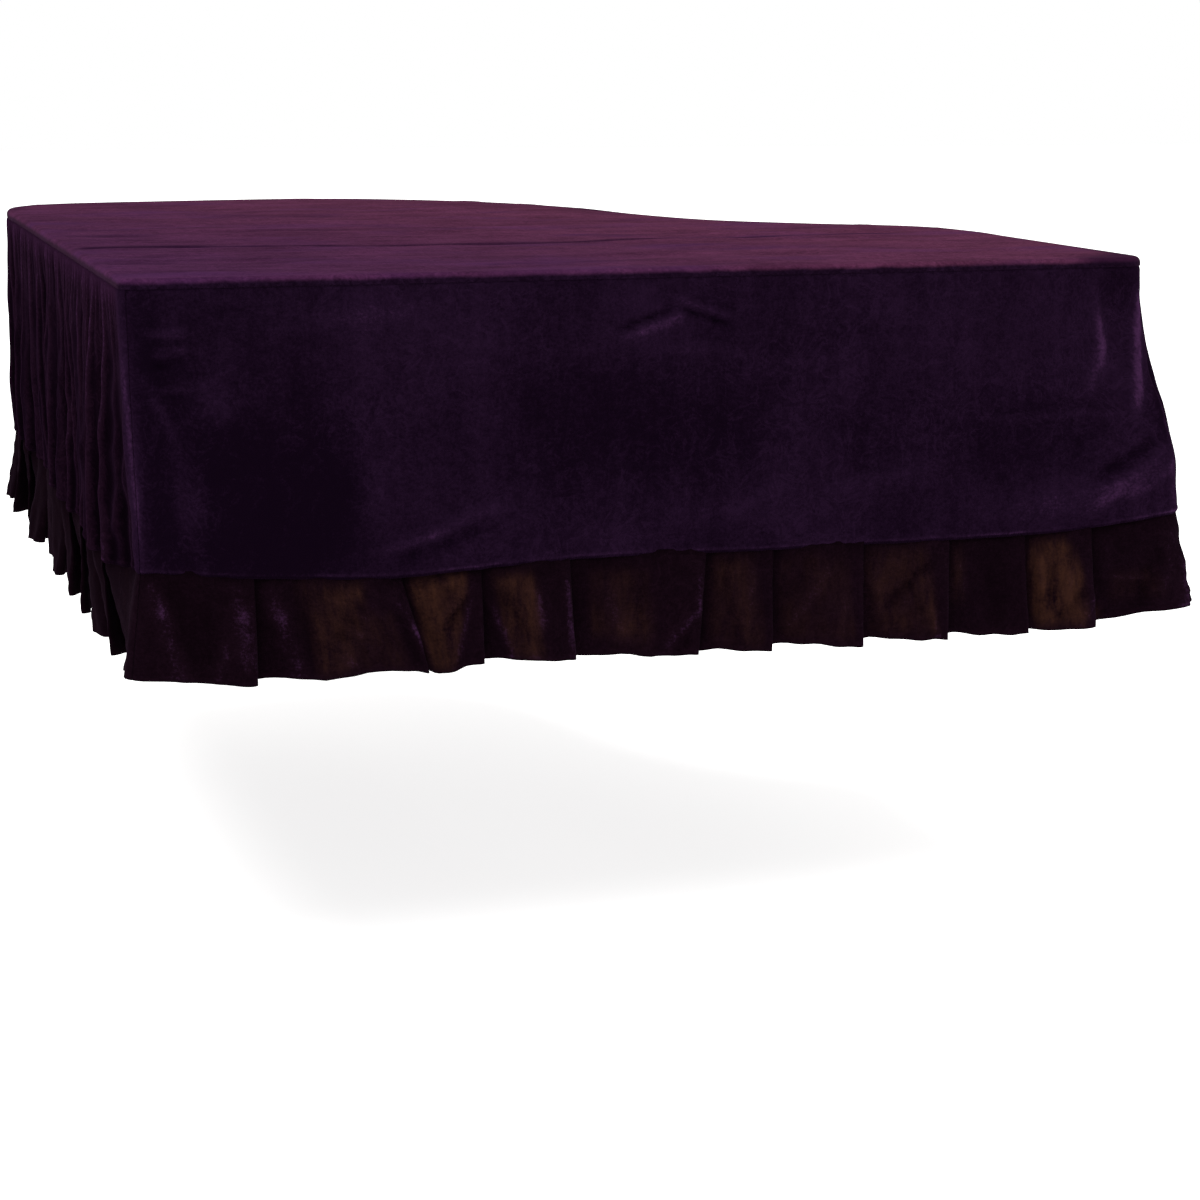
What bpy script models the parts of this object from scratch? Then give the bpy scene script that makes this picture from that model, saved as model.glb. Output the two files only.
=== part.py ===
"""A fitted cloth cover: a flat wing-shaped top, a drop on every side and a pleated ruffle round the hem.

Seen from above, the front edge is straight, the spine side runs straight back on the left, the short
cheek runs back on the right, and the bent side curves in and out again to a broad rounded tail.
Metres, +Z up, the front edge towards -Y. The origin is on the underside of the top, where the cover rests.
"""

import math

import bpy
import numpy as np
from mathutils import Vector
from mathutils.geometry import delaunay_2d_cdt

# Cloth
SHEET = 0.0015
GAP = 0.0003

# Top
FRONT_Y = -0.85
SPINE_X = -0.75
CHEEK_X = 0.774
LEFT_CORNER_RADIUS = 0.022
RIGHT_CORNER_RADIUS = 0.040
RIM_RADIUS = 0.009
RIM_DEPTH = 0.012
RIM_TURNS = (35, 65, 90)
CREASE_DEPTH = 0.003
CREASE_REACH = 0.014
TOP_POINT_SPACING = 0.13
TOP_POINT_CLEAR = 0.045

# Drops and ruffle
DROP_DEPTH = 0.405
RUFFLE_DEPTH = 0.138
SEAM_GAP = 2 * GAP
GATHER_PITCH = 0.118
GATHER_AT_RIM = 0.0015
GATHER_AT_SEAM = 0.013
PLEAT_PITCH = 0.140
PLEAT_OVERLAP = 0.031
PLEAT_LAYER = SHEET + 0.0007
PLEAT_LIFT = 0.021
PLEAT_LEAN = -0.007
PLEAT_SINK = 0.007
PLEAT_CLEAR = 0.012
PLEAT_TURN_AT_HEM = 0.0045
END_LIFT = 0.012

# How finely the solids follow the folds
RING_STEP = 0.004
CURVE_STEPS = 24
CREASE_STEPS = 2
CORNER_STEPS = 12
GATHER_COLUMNS = 6.5
FRONT_COLUMNS = 0.032
END_STEP = 0.003
RIM_COLUMN_RUN = 0.065
RIM_COLUMN_TURN = 0.24
DROP_ROWS = (0.0, 0.18, 0.38, 0.58, 0.78, 1.0)
RUFFLE_ROWS = (0.0, 0.3, 0.65, 1.0)

# Edge of the top from the end of the cheek, along the bent side and round the tail to the spine side: x, y
CURVED_EDGE = (
    (0.774, -0.420),
    (0.774, -0.290),
    (0.728, -0.155),
    (0.560, -0.040),
    (0.430, 0.080),
    (0.355, 0.260),
    (0.310, 0.450),
    (0.190, 0.660),
    (0.000, 0.805),
    (-0.180, 0.850),
    (-0.420, 0.825),
    (-0.645, 0.780),
    (-0.742, 0.690),
    (-0.762, 0.560),
    (-0.760, 0.420),
)

# Pressed crease across the top: x, y
CREASE = (
    (-0.710, -0.345),
    (-0.600, -0.345),
    (-0.420, -0.366),
    (-0.110, -0.395),
    (0.100, -0.375),
    (0.250, -0.360),
    (0.480, -0.330),
    (0.620, -0.315),
)

# How far the cloth stands out from a straight drop: x, y of the edge above, at the seam, at the hem
FLARE = (
    (-0.75, -0.85, -0.016, 0.006),
    (-0.60, -0.85, 0.020, 0.026),
    (0.00, -0.85, 0.012, 0.018),
    (0.45, -0.85, 0.010, 0.016),
    (0.774, -0.85, 0.000, 0.004),
    (0.774, -0.50, 0.010, 0.020),
    (0.50, 0.00, 0.008, 0.026),
    (0.33, 0.40, 0.010, 0.030),
    (-0.18, 0.85, 0.010, 0.026),
    (-0.68, 0.73, -0.004, 0.030),
    (-0.76, 0.56, -0.008, -0.008),
    (-0.75, 0.20, -0.008, -0.006),
    (-0.75, -0.30, 0.000, -0.012),
    (-0.75, -0.70, 0.006, -0.015),
)

# The right front corner swings out in one large fold
CORNER_SWING_AT_SEAM = (0.076, -0.020)
CORNER_SWING_AT_HEM = (0.087, -0.030)
CORNER_SWING_FROM = 0.04
CORNER_SWING_FULL = 0.335
CORNER_SWING_REACH = 0.21

# How far the corners of the edge and the values round it are softened
CORNER_SOFTNESS = 0.012
VALUE_SOFTNESS = 0.08

# Depth of the seam below the top along the front, less DROP_DEPTH: x, depth
FRONT_SEAM = (
    (-0.75, -0.014),
    (-0.60, -0.006),
    (-0.42, 0.007),
    (-0.27, 0.001),
    (-0.10, -0.004),
    (0.17, 0.002),
    (0.45, 0.004),
    (0.62, 0.004),
    (0.774, -0.020),
)

# Distance past each front corner from which the seam is level
SEAM_LEVEL_FROM = 0.3

# Pleats of the front ruffle: x of the folded edge, overlap, lift and sideways lean of the edge at the hem
FRONT_PLEATS = (
    (-0.588, 0.024, 0.026, -0.002),
    (-0.386, 0.030, 0.020, 0.036),
    (-0.271, 0.020, 0.022, 0.000),
    (-0.141, 0.026, 0.020, 0.004),
    (0.066, 0.030, 0.014, -0.016),
    (0.170, 0.030, 0.030, -0.012),
    (0.314, 0.032, 0.036, -0.013),
    (0.454, 0.030, 0.036, -0.013),
    (0.578, 0.032, 0.034, -0.002),
    (0.655, 0.024, 0.030, -0.004),
)

# Seams down the sides, where one length of cloth ends and the next begins: x, y
BENT_SEAM = (0.335, 0.35)
TAIL_SEAM = (-0.69, 0.72)

# Colour of each piece
TOP_COLOUR = (0.050, 0.012, 0.070)
DROP_COLOUR = (0.016, 0.006, 0.030)
RUFFLE_COLOUR = (0.024, 0.007, 0.030)
CLOTH_ROUGHNESS = 0.85


def catmull_rom(points, steps):
    """Points of a smooth curve through the given points, straight at its ends."""
    points = np.array(points)
    knots = np.array([2 * points[0] - points[1], *points, 2 * points[-1] - points[-2]])
    share = np.arange(steps)[:, None] / steps
    pieces = []
    for a, b, c, d in zip(knots, knots[1:], knots[2:], knots[3:]):
        bends = (2 * a - 5 * b + 4 * c - d) * share**2 + (3 * b - a - 3 * c + d) * share**3
        pieces.append(b + 0.5 * ((c - a) * share + bends))
    return np.concatenate([*pieces, knots[-2:-1]])


def quarter_turn(centre, radius, start):
    """Points of a quarter circle, counterclockwise from the angle start."""
    angles = start + np.linspace(0.0, math.pi / 2, CORNER_STEPS)
    return np.array(centre) + radius * np.stack([np.cos(angles), np.sin(angles)], axis=1)


def edge_of_top():
    """The outline of the top, counterclockwise from the middle of the left front corner, evenly spaced."""
    left = quarter_turn(
        (SPINE_X + LEFT_CORNER_RADIUS, FRONT_Y + LEFT_CORNER_RADIUS), LEFT_CORNER_RADIUS, math.pi
    )
    right = quarter_turn(
        (CHEEK_X - RIGHT_CORNER_RADIUS, FRONT_Y + RIGHT_CORNER_RADIUS),
        RIGHT_CORNER_RADIUS,
        -math.pi / 2,
    )
    curved = catmull_rom(CURVED_EDGE, CURVE_STEPS)
    middle = len(left) // 2
    path = np.concatenate([left[middle:], right, curved, left[: middle + 1]])
    along = np.concatenate([[0.0], np.cumsum(np.linalg.norm(np.diff(path, axis=0), axis=1))])
    count = round(along[-1] / RING_STEP)
    even = np.arange(count) * along[-1] / count
    return np.stack([np.interp(even, along, path[:, k]) for k in (0, 1)], axis=1), along[-1]


def soften(values, reach):
    """Values round the ring, averaged over reach metres to each side."""
    half = round(reach / RING_STEP)
    window = np.hanning(2 * half + 3)[1:-1]
    padded = np.concatenate([values[-half:], values, values[:half]])
    return np.convolve(padded, window / window.sum(), mode="valid")


def around(values, station):
    """Reads values that are given round the ring at any distance along it."""
    if np.ndim(values) == 1:
        return np.interp(station, STATIONS, values, period=LENGTH)
    return np.stack([around(column, station) for column in values.T], axis=-1)


def station_at(x, y):
    """Distance along the ring of the point nearest to x, y."""
    return STATIONS[np.argmin(np.hypot(RING[:, 0] - x, RING[:, 1] - y))]


def spread(places, values):
    """A soft run round the ring through values stated at places."""
    order = np.argsort(places)
    rough = np.interp(STATIONS, np.array(places)[order], np.array(values)[order], period=LENGTH)
    return soften(rough, VALUE_SOFTNESS)


def smooth_step(low, high, values):
    """0 below low and 1 above high, with a soft rise between them."""
    share = np.clip((values - low) / (high - low), 0.0, 1.0)
    return share * share * (3 - 2 * share)


RING, LENGTH = edge_of_top()
STATIONS = np.arange(len(RING)) * LENGTH / len(RING)
RING = np.stack([soften(RING[:, k], CORNER_SOFTNESS) for k in (0, 1)], axis=1)
TANGENT = np.roll(RING, -1, axis=0) - np.roll(RING, 1, axis=0)
TANGENT /= np.linalg.norm(TANGENT, axis=1, keepdims=True)
OUTWARD = np.stack([TANGENT[:, 1], -TANGENT[:, 0]], axis=1)
RIGHT_CORNER = station_at(CHEEK_X, FRONT_Y)
BENT_END = station_at(*BENT_SEAM)
TAIL_END = station_at(*TAIL_SEAM)

FLARE_PLACES = [station_at(x, y) for x, y, _, _ in FLARE]
FLARE_AT_SEAM = spread(FLARE_PLACES, [row[2] for row in FLARE])
FLARE_AT_HEM = spread(FLARE_PLACES, [row[3] for row in FLARE])
SEAM_PLACES = [station_at(x, FRONT_Y) for x, _ in FRONT_SEAM]
SEAM_PLACES += [RIGHT_CORNER + SEAM_LEVEL_FROM, LENGTH - SEAM_LEVEL_FROM]
SEAM_DEPTH = DROP_DEPTH + spread(SEAM_PLACES, [row[1] for row in FRONT_SEAM] + [0.0, 0.0])


def gathers():
    """Height of the gathered folds round the ring, from about -1 to 1, and none along the front."""
    turns = STATIONS / GATHER_PITCH
    phase = 2 * np.pi * turns + 1.3 * np.sin(2 * np.pi * STATIONS / 0.90)
    phase += 0.7 * np.sin(2 * np.pi * STATIONS / 0.37 + 1.0)
    height = np.sin(phase) + 0.25 * np.sin(2 * phase + 0.5)
    height *= 1 + 0.35 * np.sin(2 * np.pi * STATIONS / 0.51 + 2.0)
    from_front = np.minimum(STATIONS - RIGHT_CORNER, LENGTH - STATIONS)
    return height * smooth_step(0.01, 0.09, from_front)


GATHERS = gathers()


def wall(station, depth, lift=0.0):
    """Points of the hanging cloth below the top's edge at these distances round it and depths.

    Down to the seam the cloth leaves the straight drop along a power of the depth, and in the ruffle it
    goes on in a straight line to its flare at the hem. Gathers deepen from the rim to the seam. lift
    moves the cloth further out, as a pleat does.
    """
    seam = around(SEAM_DEPTH, station)
    above = np.clip((depth - RIM_DEPTH) / (seam - RIM_DEPTH), 0.0, 1.0)
    below = np.clip((depth - seam) / RUFFLE_DEPTH, 0.0, 1.0)
    out = around(FLARE_AT_SEAM, station) * (above**1.4 - below)
    out += around(FLARE_AT_HEM, station) * below
    fold = GATHER_AT_RIM + (GATHER_AT_SEAM - GATHER_AT_RIM) * smooth_step(0.0, 0.8, above)
    out += around(GATHERS, station) * fold * (1 - 0.6 * below) + lift
    swing = smooth_step(CORNER_SWING_FROM, CORNER_SWING_FULL, depth)
    near = smooth_step(CORNER_SWING_REACH, 0.0, np.abs(station - RIGHT_CORNER))
    at_seam, at_hem = np.array(CORNER_SWING_AT_SEAM), np.array(CORNER_SWING_AT_HEM)
    pull = at_seam * (swing * (1 - below))[..., None] + at_hem * below[..., None]
    place = around(RING, station) + around(OUTWARD, station) * out[..., None]
    place = place + pull * near[..., None]
    return np.concatenate([place, -depth[..., None]], axis=-1)


def sides(path):
    """Horizontal offset of a path's left and right sides from its middle, for a sheet of even thickness."""
    along = np.diff(path[:, :2], axis=0)
    along /= np.linalg.norm(along, axis=1, keepdims=True)
    ends = np.concatenate([along[:1], along, along[-1:]])
    mean = ends[:-1] + ends[1:]
    mean /= np.linalg.norm(mean, axis=1, keepdims=True)
    bend = np.clip((mean * ends[1:]).sum(axis=1), 0.77, 1.0)
    across = np.stack([mean[:, 1], -mean[:, 0], np.zeros(len(path))], axis=1)
    return across * (SHEET / 2 / bend)[:, None]


def cloth_material(name, colour):
    material = bpy.data.materials.new(name)
    material.use_nodes = True
    shader = material.node_tree.nodes["Principled BSDF"]
    shader.inputs["Base Color"].default_value = (*colour, 1.0)
    shader.inputs["Roughness"].default_value = CLOTH_ROUGHNESS
    shader.inputs["Metallic"].default_value = 0.0
    return material


def add_solid(name, points, triangles, colour):
    mesh = bpy.data.meshes.new(name)
    mesh.from_pydata(points.tolist(), [], triangles.tolist())
    mesh.validate()
    mesh.shade_smooth()
    mesh.set_sharp_from_angle(angle=math.radians(50))
    mesh.materials.append(cloth_material(name + "_cloth", colour))
    bpy.context.scene.collection.objects.link(bpy.data.objects.new(name, mesh))


def add_sheet(name, middle, colour):
    """A closed sheet on a grid of points: rows from top to bottom, columns from left to right from outside.

    Both faces are cut into triangles along the same diagonals, so they stay apart where the cloth twists.
    """
    rows, columns = middle.shape[:2]
    offset = np.stack([sides(row) for row in middle])
    points = np.concatenate([(middle + offset).reshape(-1, 3), (middle - offset).reshape(-1, 3)])
    outer = np.arange(rows * columns).reshape(rows, columns)
    inner = outer + rows * columns
    quads = [
        (outer[:-1, :-1], outer[1:, :-1], outer[1:, 1:], outer[:-1, 1:]),
        (inner[1:, 1:], inner[1:, :-1], inner[:-1, :-1], inner[:-1, 1:]),
        (inner[0, :-1], outer[0, :-1], outer[0, 1:], inner[0, 1:]),
        (outer[-1, :-1], inner[-1, :-1], inner[-1, 1:], outer[-1, 1:]),
        (inner[:-1, 0], inner[1:, 0], outer[1:, 0], outer[:-1, 0]),
        (outer[:-1, -1], outer[1:, -1], inner[1:, -1], inner[:-1, -1]),
    ]
    triangles = []
    for quad in quads:
        a, b, c, d = (np.ravel(corner) for corner in quad)
        triangles += [np.stack([a, b, c], axis=1), np.stack([a, c, d], axis=1)]
    add_solid(name, points, np.concatenate(triangles), colour)


def with_close_ends(columns):
    """The same columns with one more just inside each end, so that ends that meet are parallel."""
    first, last = columns[:1], columns[-1:]
    return np.concatenate([first, first + END_STEP, columns[1:-1], last - END_STEP, last])


def add_drop(name, start, end, spacing, colour):
    """One length of the drop, from the top's rim to the seam above the ruffle."""
    count = round((end - start) / spacing) + 1
    columns = with_close_ends(np.linspace(start + GAP / 2, end - GAP / 2, count))
    seam = around(SEAM_DEPTH, columns)
    highest = RIM_DEPTH + GAP
    middle = [wall(columns, highest + share * (seam - highest)) for share in DROP_ROWS]
    add_sheet(name, np.stack(middle), colour)


def even_pleats(start, end):
    """Pleats of about the usual pitch from start to end, a little uneven."""
    count = round((end - start) / PLEAT_PITCH)
    pleats = []
    for number in range(1, count):
        edge = start + (end - start) * number / count + 0.012 * math.sin(2.4 * number + start)
        overlap = PLEAT_OVERLAP * (1 + 0.2 * math.sin(1.7 * number + 1.0))
        lift = PLEAT_LIFT * (1 + 0.35 * math.sin(2.9 * number + 2.0))
        pleats.append((edge, overlap, lift, PLEAT_LEAN))
    return pleats


def pleat_row(pleats, start, end, share):
    """Distance round the ring and outward lift of a ruffle's columns, share of the way down to the hem.

    Each knife pleat is a flat Z in plan: the cloth comes forward to the folded edge, turns back under
    itself for the overlap, turns again and goes on behind. The layers open towards the hem.
    """
    turn = PLEAT_LAYER / 2 + PLEAT_TURN_AT_HEM * share
    end_lift = END_LIFT * share
    columns = [(start, end_lift), (start + END_STEP, end_lift)]
    leave = start + PLEAT_CLEAR
    last_back = end_lift
    for at_seam, overlap, lift, lean in pleats:
        edge = at_seam + lean * share
        front = lift * share**1.2
        middle = 0.42 * front - PLEAT_LAYER
        back = -2 * PLEAT_LAYER - PLEAT_SINK * share
        hidden = edge - overlap
        meet = hidden - PLEAT_CLEAR
        columns += [
            (leave + 0.5 * (meet - leave), last_back + 0.62 * (front - last_back)),
            (meet, last_back + 0.94 * (front - last_back)),
            (edge - turn, front),
            (edge, (front + middle) / 2),
            (edge - turn, middle),
            (hidden + turn, middle),
            (hidden, (middle + back) / 2),
            (hidden + turn, back),
            (edge + PLEAT_CLEAR, back),
        ]
        leave = edge + PLEAT_CLEAR
        last_back = back
    columns += [
        (leave + 0.5 * (end - leave), last_back + 0.7 * (end_lift - last_back)),
        (end - END_STEP, end_lift),
        (end, end_lift),
    ]
    return np.array(columns).T


def add_ruffle(name, start, end, pleats, colour):
    """One length of the pleated ruffle, from its seam to its hem."""
    middle = []
    for share in RUFFLE_ROWS:
        station, lift = pleat_row(pleats, start + GAP / 2, end - GAP / 2, share)
        depth = around(SEAM_DEPTH, station) + SEAM_GAP + RUFFLE_DEPTH * share
        middle.append(wall(station, depth, lift))
    add_sheet(name, np.stack(middle), colour)


def rim_columns():
    """Distances round the ring, close together where it turns and further apart where it is straight."""
    turning = np.abs(np.cross(TANGENT, np.roll(TANGENT, -1, axis=0)))
    effort = np.cumsum(RING_STEP / RIM_COLUMN_RUN + turning / RIM_COLUMN_TURN)
    count = round(effort[-1])
    return np.interp(np.arange(count) * effort[-1] / count, effort, STATIONS)


def crease_lines():
    """The crease's lowest line and its upper lines behind and in front of it, each as points."""
    path = catmull_rom(CREASE, CREASE_STEPS)
    along = np.gradient(path, axis=0)
    along /= np.linalg.norm(along, axis=1, keepdims=True)
    across = np.stack([-along[:, 1], along[:, 0]], axis=1) * CREASE_REACH
    return path, path[1:-1] + across[1:-1], path[1:-1] - across[1:-1]


def rim_profile():
    """The rim's section from its outer face down to its lower edge and up its inner face: outward, up."""
    centre = SHEET / 2 - RIM_RADIUS
    outer, inner = [], []
    for angle in (math.radians(degrees) for degrees in RIM_TURNS):
        for face, radius in ((outer, RIM_RADIUS + SHEET / 2), (inner, RIM_RADIUS - SHEET / 2)):
            face.append((radius * math.sin(angle), centre + radius * math.cos(angle)))
    outer.append((RIM_RADIUS + SHEET / 2, -RIM_DEPTH))
    inner.append((RIM_RADIUS - SHEET / 2, -RIM_DEPTH))
    return outer + inner[::-1]


def top_points(ring):
    """Points between the rim and the crease, in an even triangular pattern."""
    lowest = crease_lines()[0]
    ahead = np.roll(ring, -1, axis=0)
    rows = np.arange(FRONT_Y, ring[:, 1].max(), TOP_POINT_SPACING * math.sqrt(3) / 2)
    found = []
    for number, y in enumerate(rows):
        first = SPINE_X + 0.5 * (number % 2) * TOP_POINT_SPACING
        for x in np.arange(first, CHEEK_X, TOP_POINT_SPACING):
            crosses = (ring[:, 1] > y) != (ahead[:, 1] > y)
            run = (y - ring[:, 1]) / np.where(crosses, ahead[:, 1] - ring[:, 1], 1.0)
            inside = (crosses & (x < ring[:, 0] + run * (ahead[:, 0] - ring[:, 0]))).sum() % 2
            to_rim = np.hypot(ring[:, 0] - x, ring[:, 1] - y).min()
            to_crease = np.hypot(lowest[:, 0] - x, lowest[:, 1] - y).min()
            if inside and min(to_rim, to_crease) > TOP_POINT_CLEAR:
                found.append((x, y))
    return np.array(found)


def add_top(name, colour):
    """The top with its rim turned down all round and the pressed crease across it."""
    columns = rim_columns()
    edge, out = around(RING, columns), around(OUTWARD, columns)
    count = len(columns)
    flat = edge - out * RIM_RADIUS
    lowest, behind, ahead = crease_lines()
    starts = np.cumsum([count, len(lowest), len(behind)])
    links = [(k, k + 1) for k in range(starts[0], starts[0] + len(lowest) - 1)]
    for start, line in ((starts[1], behind), (starts[2], ahead)):
        links += [(k, k + 1) for k in range(start, start + len(line) - 1)]
        links += [(starts[0], start), (start + len(line) - 1, starts[0] + len(lowest) - 1)]
    plan = np.concatenate([flat, lowest, behind, ahead, top_points(flat)])
    corners, _, faces, _, _, _ = delaunay_2d_cdt(
        [Vector(point) for point in plan.tolist()], links, [list(range(count))], 1, 1e-6
    )
    corners = np.array([tuple(corner) for corner in corners])
    faces = np.array(faces)
    dip = np.zeros(len(corners))
    dip[starts[0] + 1 : starts[0] + len(lowest) - 1] = CREASE_DEPTH
    upper = np.column_stack([corners, SHEET - dip])
    lower = np.column_stack([corners, -dip])
    points, rings = [upper, lower], [np.arange(count)]
    used = 2 * len(corners)
    for run, height in rim_profile():
        points.append(np.column_stack([flat + out * run, np.full(count, height)]))
        rings.append(used + np.arange(count))
        used += count
    rings.append(len(corners) + np.arange(count))
    triangles = [faces, faces[:, ::-1] + len(corners)]
    for above, under in zip(rings, rings[1:]):
        after, after_under = np.roll(above, -1), np.roll(under, -1)
        triangles.append(np.stack([above, under, after_under], axis=1))
        triangles.append(np.stack([above, after_under, after], axis=1))
    add_solid(name, np.concatenate(points), np.concatenate(triangles), colour)


def build():
    for obj in list(bpy.data.objects):
        bpy.data.objects.remove(obj, do_unlink=True)
    add_top("top_panel", TOP_COLOUR)
    fine = GATHER_PITCH / GATHER_COLUMNS
    add_drop("front_drop", 0.0, RIGHT_CORNER, FRONT_COLUMNS, DROP_COLOUR)
    add_drop("bent_drop", RIGHT_CORNER, BENT_END, fine, DROP_COLOUR)
    add_drop("tail_drop", BENT_END, TAIL_END, fine, DROP_COLOUR)
    add_drop("spine_drop", TAIL_END, LENGTH, fine, DROP_COLOUR)
    front = [(station_at(x, FRONT_Y), *sizes) for x, *sizes in FRONT_PLEATS]
    add_ruffle("front_ruffle", 0.0, RIGHT_CORNER, front, RUFFLE_COLOUR)
    for name, start, end in (
        ("bent_ruffle", RIGHT_CORNER, BENT_END),
        ("tail_ruffle", BENT_END, TAIL_END),
        ("spine_ruffle", TAIL_END, LENGTH),
    ):
        add_ruffle(name, start, end, even_pleats(start, end), RUFFLE_COLOUR)


build()
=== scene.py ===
# %% [markdown]
# # A fitted velvet cover with a pleated ruffle
#
# This cover has a flat wing-shaped top, a drop that hangs from its edge on every side, and a pleated ruffle
# sewn along the bottom of the drop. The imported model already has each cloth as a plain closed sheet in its
# true shape. This lesson makes the same cloths again, finer: with creases, puckered seams and soft pleats,
# and with a velvet whose pile and sheen come from nodes.
#
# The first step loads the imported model. Its box is kept, so that the size of the dressed cover can be set
# against it at the end.

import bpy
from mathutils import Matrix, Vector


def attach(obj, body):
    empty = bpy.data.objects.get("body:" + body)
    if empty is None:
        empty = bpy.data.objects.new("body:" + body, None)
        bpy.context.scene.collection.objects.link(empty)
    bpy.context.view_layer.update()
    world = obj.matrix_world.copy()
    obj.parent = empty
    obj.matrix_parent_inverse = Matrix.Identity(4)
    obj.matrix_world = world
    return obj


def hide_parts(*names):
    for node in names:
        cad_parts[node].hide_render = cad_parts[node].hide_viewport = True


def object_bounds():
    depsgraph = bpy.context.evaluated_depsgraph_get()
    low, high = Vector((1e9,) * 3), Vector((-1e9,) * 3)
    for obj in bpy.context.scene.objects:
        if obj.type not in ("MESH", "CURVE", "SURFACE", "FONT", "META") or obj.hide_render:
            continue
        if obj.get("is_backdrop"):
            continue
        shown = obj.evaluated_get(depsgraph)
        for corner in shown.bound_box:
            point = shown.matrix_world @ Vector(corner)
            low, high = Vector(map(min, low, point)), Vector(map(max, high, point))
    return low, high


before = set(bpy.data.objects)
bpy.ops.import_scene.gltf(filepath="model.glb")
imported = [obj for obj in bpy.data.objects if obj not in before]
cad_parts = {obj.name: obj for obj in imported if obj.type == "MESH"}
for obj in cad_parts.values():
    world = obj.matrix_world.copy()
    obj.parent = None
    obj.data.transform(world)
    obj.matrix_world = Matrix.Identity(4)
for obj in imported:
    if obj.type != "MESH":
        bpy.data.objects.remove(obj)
CAD_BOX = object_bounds()
print("nodes:", sorted(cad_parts))

# %% [markdown]
# ## Sizes
#
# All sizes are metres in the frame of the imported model, apart from the long tables of creases, which are in
# millimetres. The origin is on the underside of the top, +Z is up and the straight front edge is at negative
# Y. The cover is drawn from its top edge: every drop and ruffle hangs from that one line, so the line is
# worked out first.

# %% Sizes of the cover
import math

import bpy
import numpy as np
from mathutils import Matrix

MM = 0.001
SHEET = 0.0015
FRONT_Y = -0.85
SPINE_X = -0.75
CHEEK_X = 0.774
LEFT_CORNER_RADIUS = 0.022
RIGHT_CORNER_RADIUS = 0.040
RIM_RADIUS = 0.009
RIM_DEPTH = 0.012
DROP_DEPTH = 0.405
RUFFLE_DEPTH = 0.138
RING_STEP = 0.004

# Edge of the top from the end of the cheek, along the bent side and round the tail to the spine side: x, y
CURVED_EDGE = (
    (0.774, -0.420),
    (0.774, -0.290),
    (0.728, -0.155),
    (0.560, -0.040),
    (0.430, 0.080),
    (0.355, 0.260),
    (0.310, 0.450),
    (0.190, 0.660),
    (0.000, 0.805),
    (-0.180, 0.850),
    (-0.420, 0.825),
    (-0.645, 0.780),
    (-0.742, 0.690),
    (-0.762, 0.560),
    (-0.760, 0.420),
)

# %% [markdown]
# ## The edge of the top
#
# A curve object could draw this outline, but every cloth needs to ask it questions: where is the edge after
# so many metres, and which way is out? So the outline is kept as arrays of evenly spaced points, and a
# distance along it, called a station, becomes the first of the two parameters of every hanging cloth.

# %% Outline of the top as evenly spaced points
CURVE_STEPS = 24
CORNER_STEPS = 12


def catmull_rom(points, steps):
    """Points of a smooth curve through the given points, straight at its ends.

    Between points b and c the curve is b + ((c - a) t + (2a - 5b + 4c - d) t^2 + (3b - a - 3c + d) t^3) / 2,
    where a and d are the points before and after, and t runs from 0 to 1.
    """
    points = np.array(points)
    knots = np.array([2 * points[0] - points[1], *points, 2 * points[-1] - points[-2]])
    a, b, c, d = (knots[k : len(knots) - 3 + k, None] for k in range(4))
    t = (np.arange(steps) / steps)[None, :, None]
    curve = b + 0.5 * ((c - a) * t + (2 * a - 5 * b + 4 * c - d) * t**2 + (3 * b - a - 3 * c + d) * t**3)
    return np.concatenate([curve.reshape(-1, points.shape[1]), points[-1:]])


def quarter_turn(centre, radius, start):
    """Points of a quarter circle, counterclockwise from the angle start."""
    angles = start + np.linspace(0.0, math.pi / 2, CORNER_STEPS)
    return np.array(centre) + radius * np.stack([np.cos(angles), np.sin(angles)], axis=1)


def edge_of_top():
    """The outline, counterclockwise from the middle of the left front corner, and its length."""
    left_centre = (SPINE_X + LEFT_CORNER_RADIUS, FRONT_Y + LEFT_CORNER_RADIUS)
    right_centre = (CHEEK_X - RIGHT_CORNER_RADIUS, FRONT_Y + RIGHT_CORNER_RADIUS)
    left = quarter_turn(left_centre, LEFT_CORNER_RADIUS, math.pi)
    right = quarter_turn(right_centre, RIGHT_CORNER_RADIUS, -math.pi / 2)
    curved = catmull_rom(CURVED_EDGE, CURVE_STEPS)
    middle = len(left) // 2
    path = np.concatenate([left[middle:], right, curved, left[: middle + 1]])
    along = np.concatenate([[0.0], np.cumsum(np.linalg.norm(np.diff(path, axis=0), axis=1))])
    count = round(along[-1] / RING_STEP)
    even = np.arange(count) * along[-1] / count
    return np.stack([np.interp(even, along, path[:, k]) for k in (0, 1)], axis=1), along[-1]


def soften(values, reach):
    """Values round the edge, each one averaged with its neighbours within reach."""
    half = round(reach / RING_STEP)
    window = np.hanning(2 * half + 3)[1:-1]
    padded = np.concatenate([values[-half:], values, values[:half]])
    return np.convolve(padded, window / window.sum(), mode="valid")


def around(values, station):
    """Reads values that are given round the edge at any distance along it."""
    if np.ndim(values) == 1:
        return np.interp(station, STATIONS, values, period=LENGTH)
    return np.stack([around(column, station) for column in values.T], axis=-1)


def station_at(x, y):
    """Distance along the edge of its point nearest to x, y."""
    return STATIONS[np.argmin(np.hypot(RING[:, 0] - x, RING[:, 1] - y))]


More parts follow.
